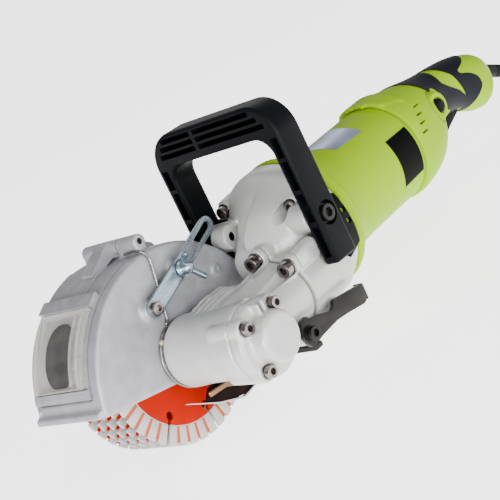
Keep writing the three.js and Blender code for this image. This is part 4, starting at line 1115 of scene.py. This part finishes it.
# ---------------------------------------------------------------- lock lever
def make_lever():
    px, pz = LEVER_PIVOT
    line = [(px + 6, pz - 6), (px + 8, pz + 1), (px + 4, pz + 11), (px - 4, pz + 12), (px - 5, pz + 9),
            (px - 14, pz + 7), (px - 29, pz + 1), (px - 33, pz + 3.4), (px - 35, pz + 6.4),
            (px - 67, pz + 0.6),
            (px - 68, pz - 1.4), (px - 66, pz - 12), (px - 62.4, pz - 13.2), (px - 43, pz - 9.4),
            (px - 30, pz - 7.4), (px - 10, pz - 7.8), (px + 3, pz - 9.6)]
    arm = prism("Y", rounded(line, 1.8, closed=True), 88.4, 91.7)
    fold = prism("Y", rounded([(px - 67, pz + 0.6), (px - 69.4, pz + 0.2), (px - 68.4, pz - 12.6),
                               (px - 66, pz - 12)],
                              0.6, closed=True), 84, 91.6)
    tongue = block(px - 6, px + 2, 36, 91.6, pz - 13, pz - 9.4)
    foot = block(px - 6, px + 24, 36, 41, pz - 13, pz - 9.4)
    body = cut(union(arm, fold, tongue, foot), rod("Y", 3, 3, 60, 120, LEVER_PIVOT, 32, 0))
    return bevelled(body, 0.5, 3)


piece(make_lever(), "lock_plate", "lever", GUNMETAL, "lock_lever", 30)
# A short bar under the gear case; a thin near-black sheet under the spindle tube, which is painted shade
# standing for the dark interior there; the bright edge below it and the link beside it.
BAR = rounded([(-18, -31.5), (2, -27.6), (3, -30.6), (-17, -35.2)], 0.8, closed=True)
PAINTED_SHADE_OUTLINE = [(12.7, -37.3), (5, -30), (-10, -28), (-28, -36), (-39, -52.0), (-27.8, -54.0), (-9.5, -49.6)]
EDGE = [(28.3, -27.0), (1.4, -43.4), (-20.8, -53.3), (-37.5, -52.2), (-37.5, -53.6), (-21.2, -54.9),
        (1.0, -45.0), (28.3, -27.8)]
LINK = [(8.8, -35.0), (-8.4, -37.6), (-22.2, -44.8), (-25.0, -41.7), (-10.6, -33.4), (8.4, -31.0)]
for name, slot, look, outline, y0, y1, width in (
        ("lock_bar", "copper", COPPER, BAR, 46, 52, 0.6),
        ("painted_shade_sheet", "dark_steel", SHADE, PAINTED_SHADE_OUTLINE, 18.4, 19.6, 0.3),
        ("shield_edge", "steel", STEEL, EDGE, 18.0, 21.0, 0.3),
        ("lock_link", "copper", COPPER, LINK, 20.4, 23.4, 0.8)):
    piece(bevelled(prism("Y", outline, y0, y1), width), name, "frame", look, (), 30)


# ---------------------------------------------------------------- pieces that show as the CAD made them
for look, nodes in (
        (STEEL,
         "blade_spacer_1 blade_spacer_2 blade_spacer_3 blade_spacer_4 outer_flange spindle spindle_nut"),
        (STEEL, "spindle_bearing_inner spindle_bearing_outer spindle_bevel_gear layshaft layshaft_gear"),
        (STEEL,
         "layshaft_bearing_front layshaft_bearing_rear rotor_shaft front_motor_bearing rear_motor_bearing"),
        (DARK, "rotor_core stator"), (COPPER, "commutator"), (BLACK, "fan switch_body plug")):
    for node in nodes.split():
        paint_node(node, look)
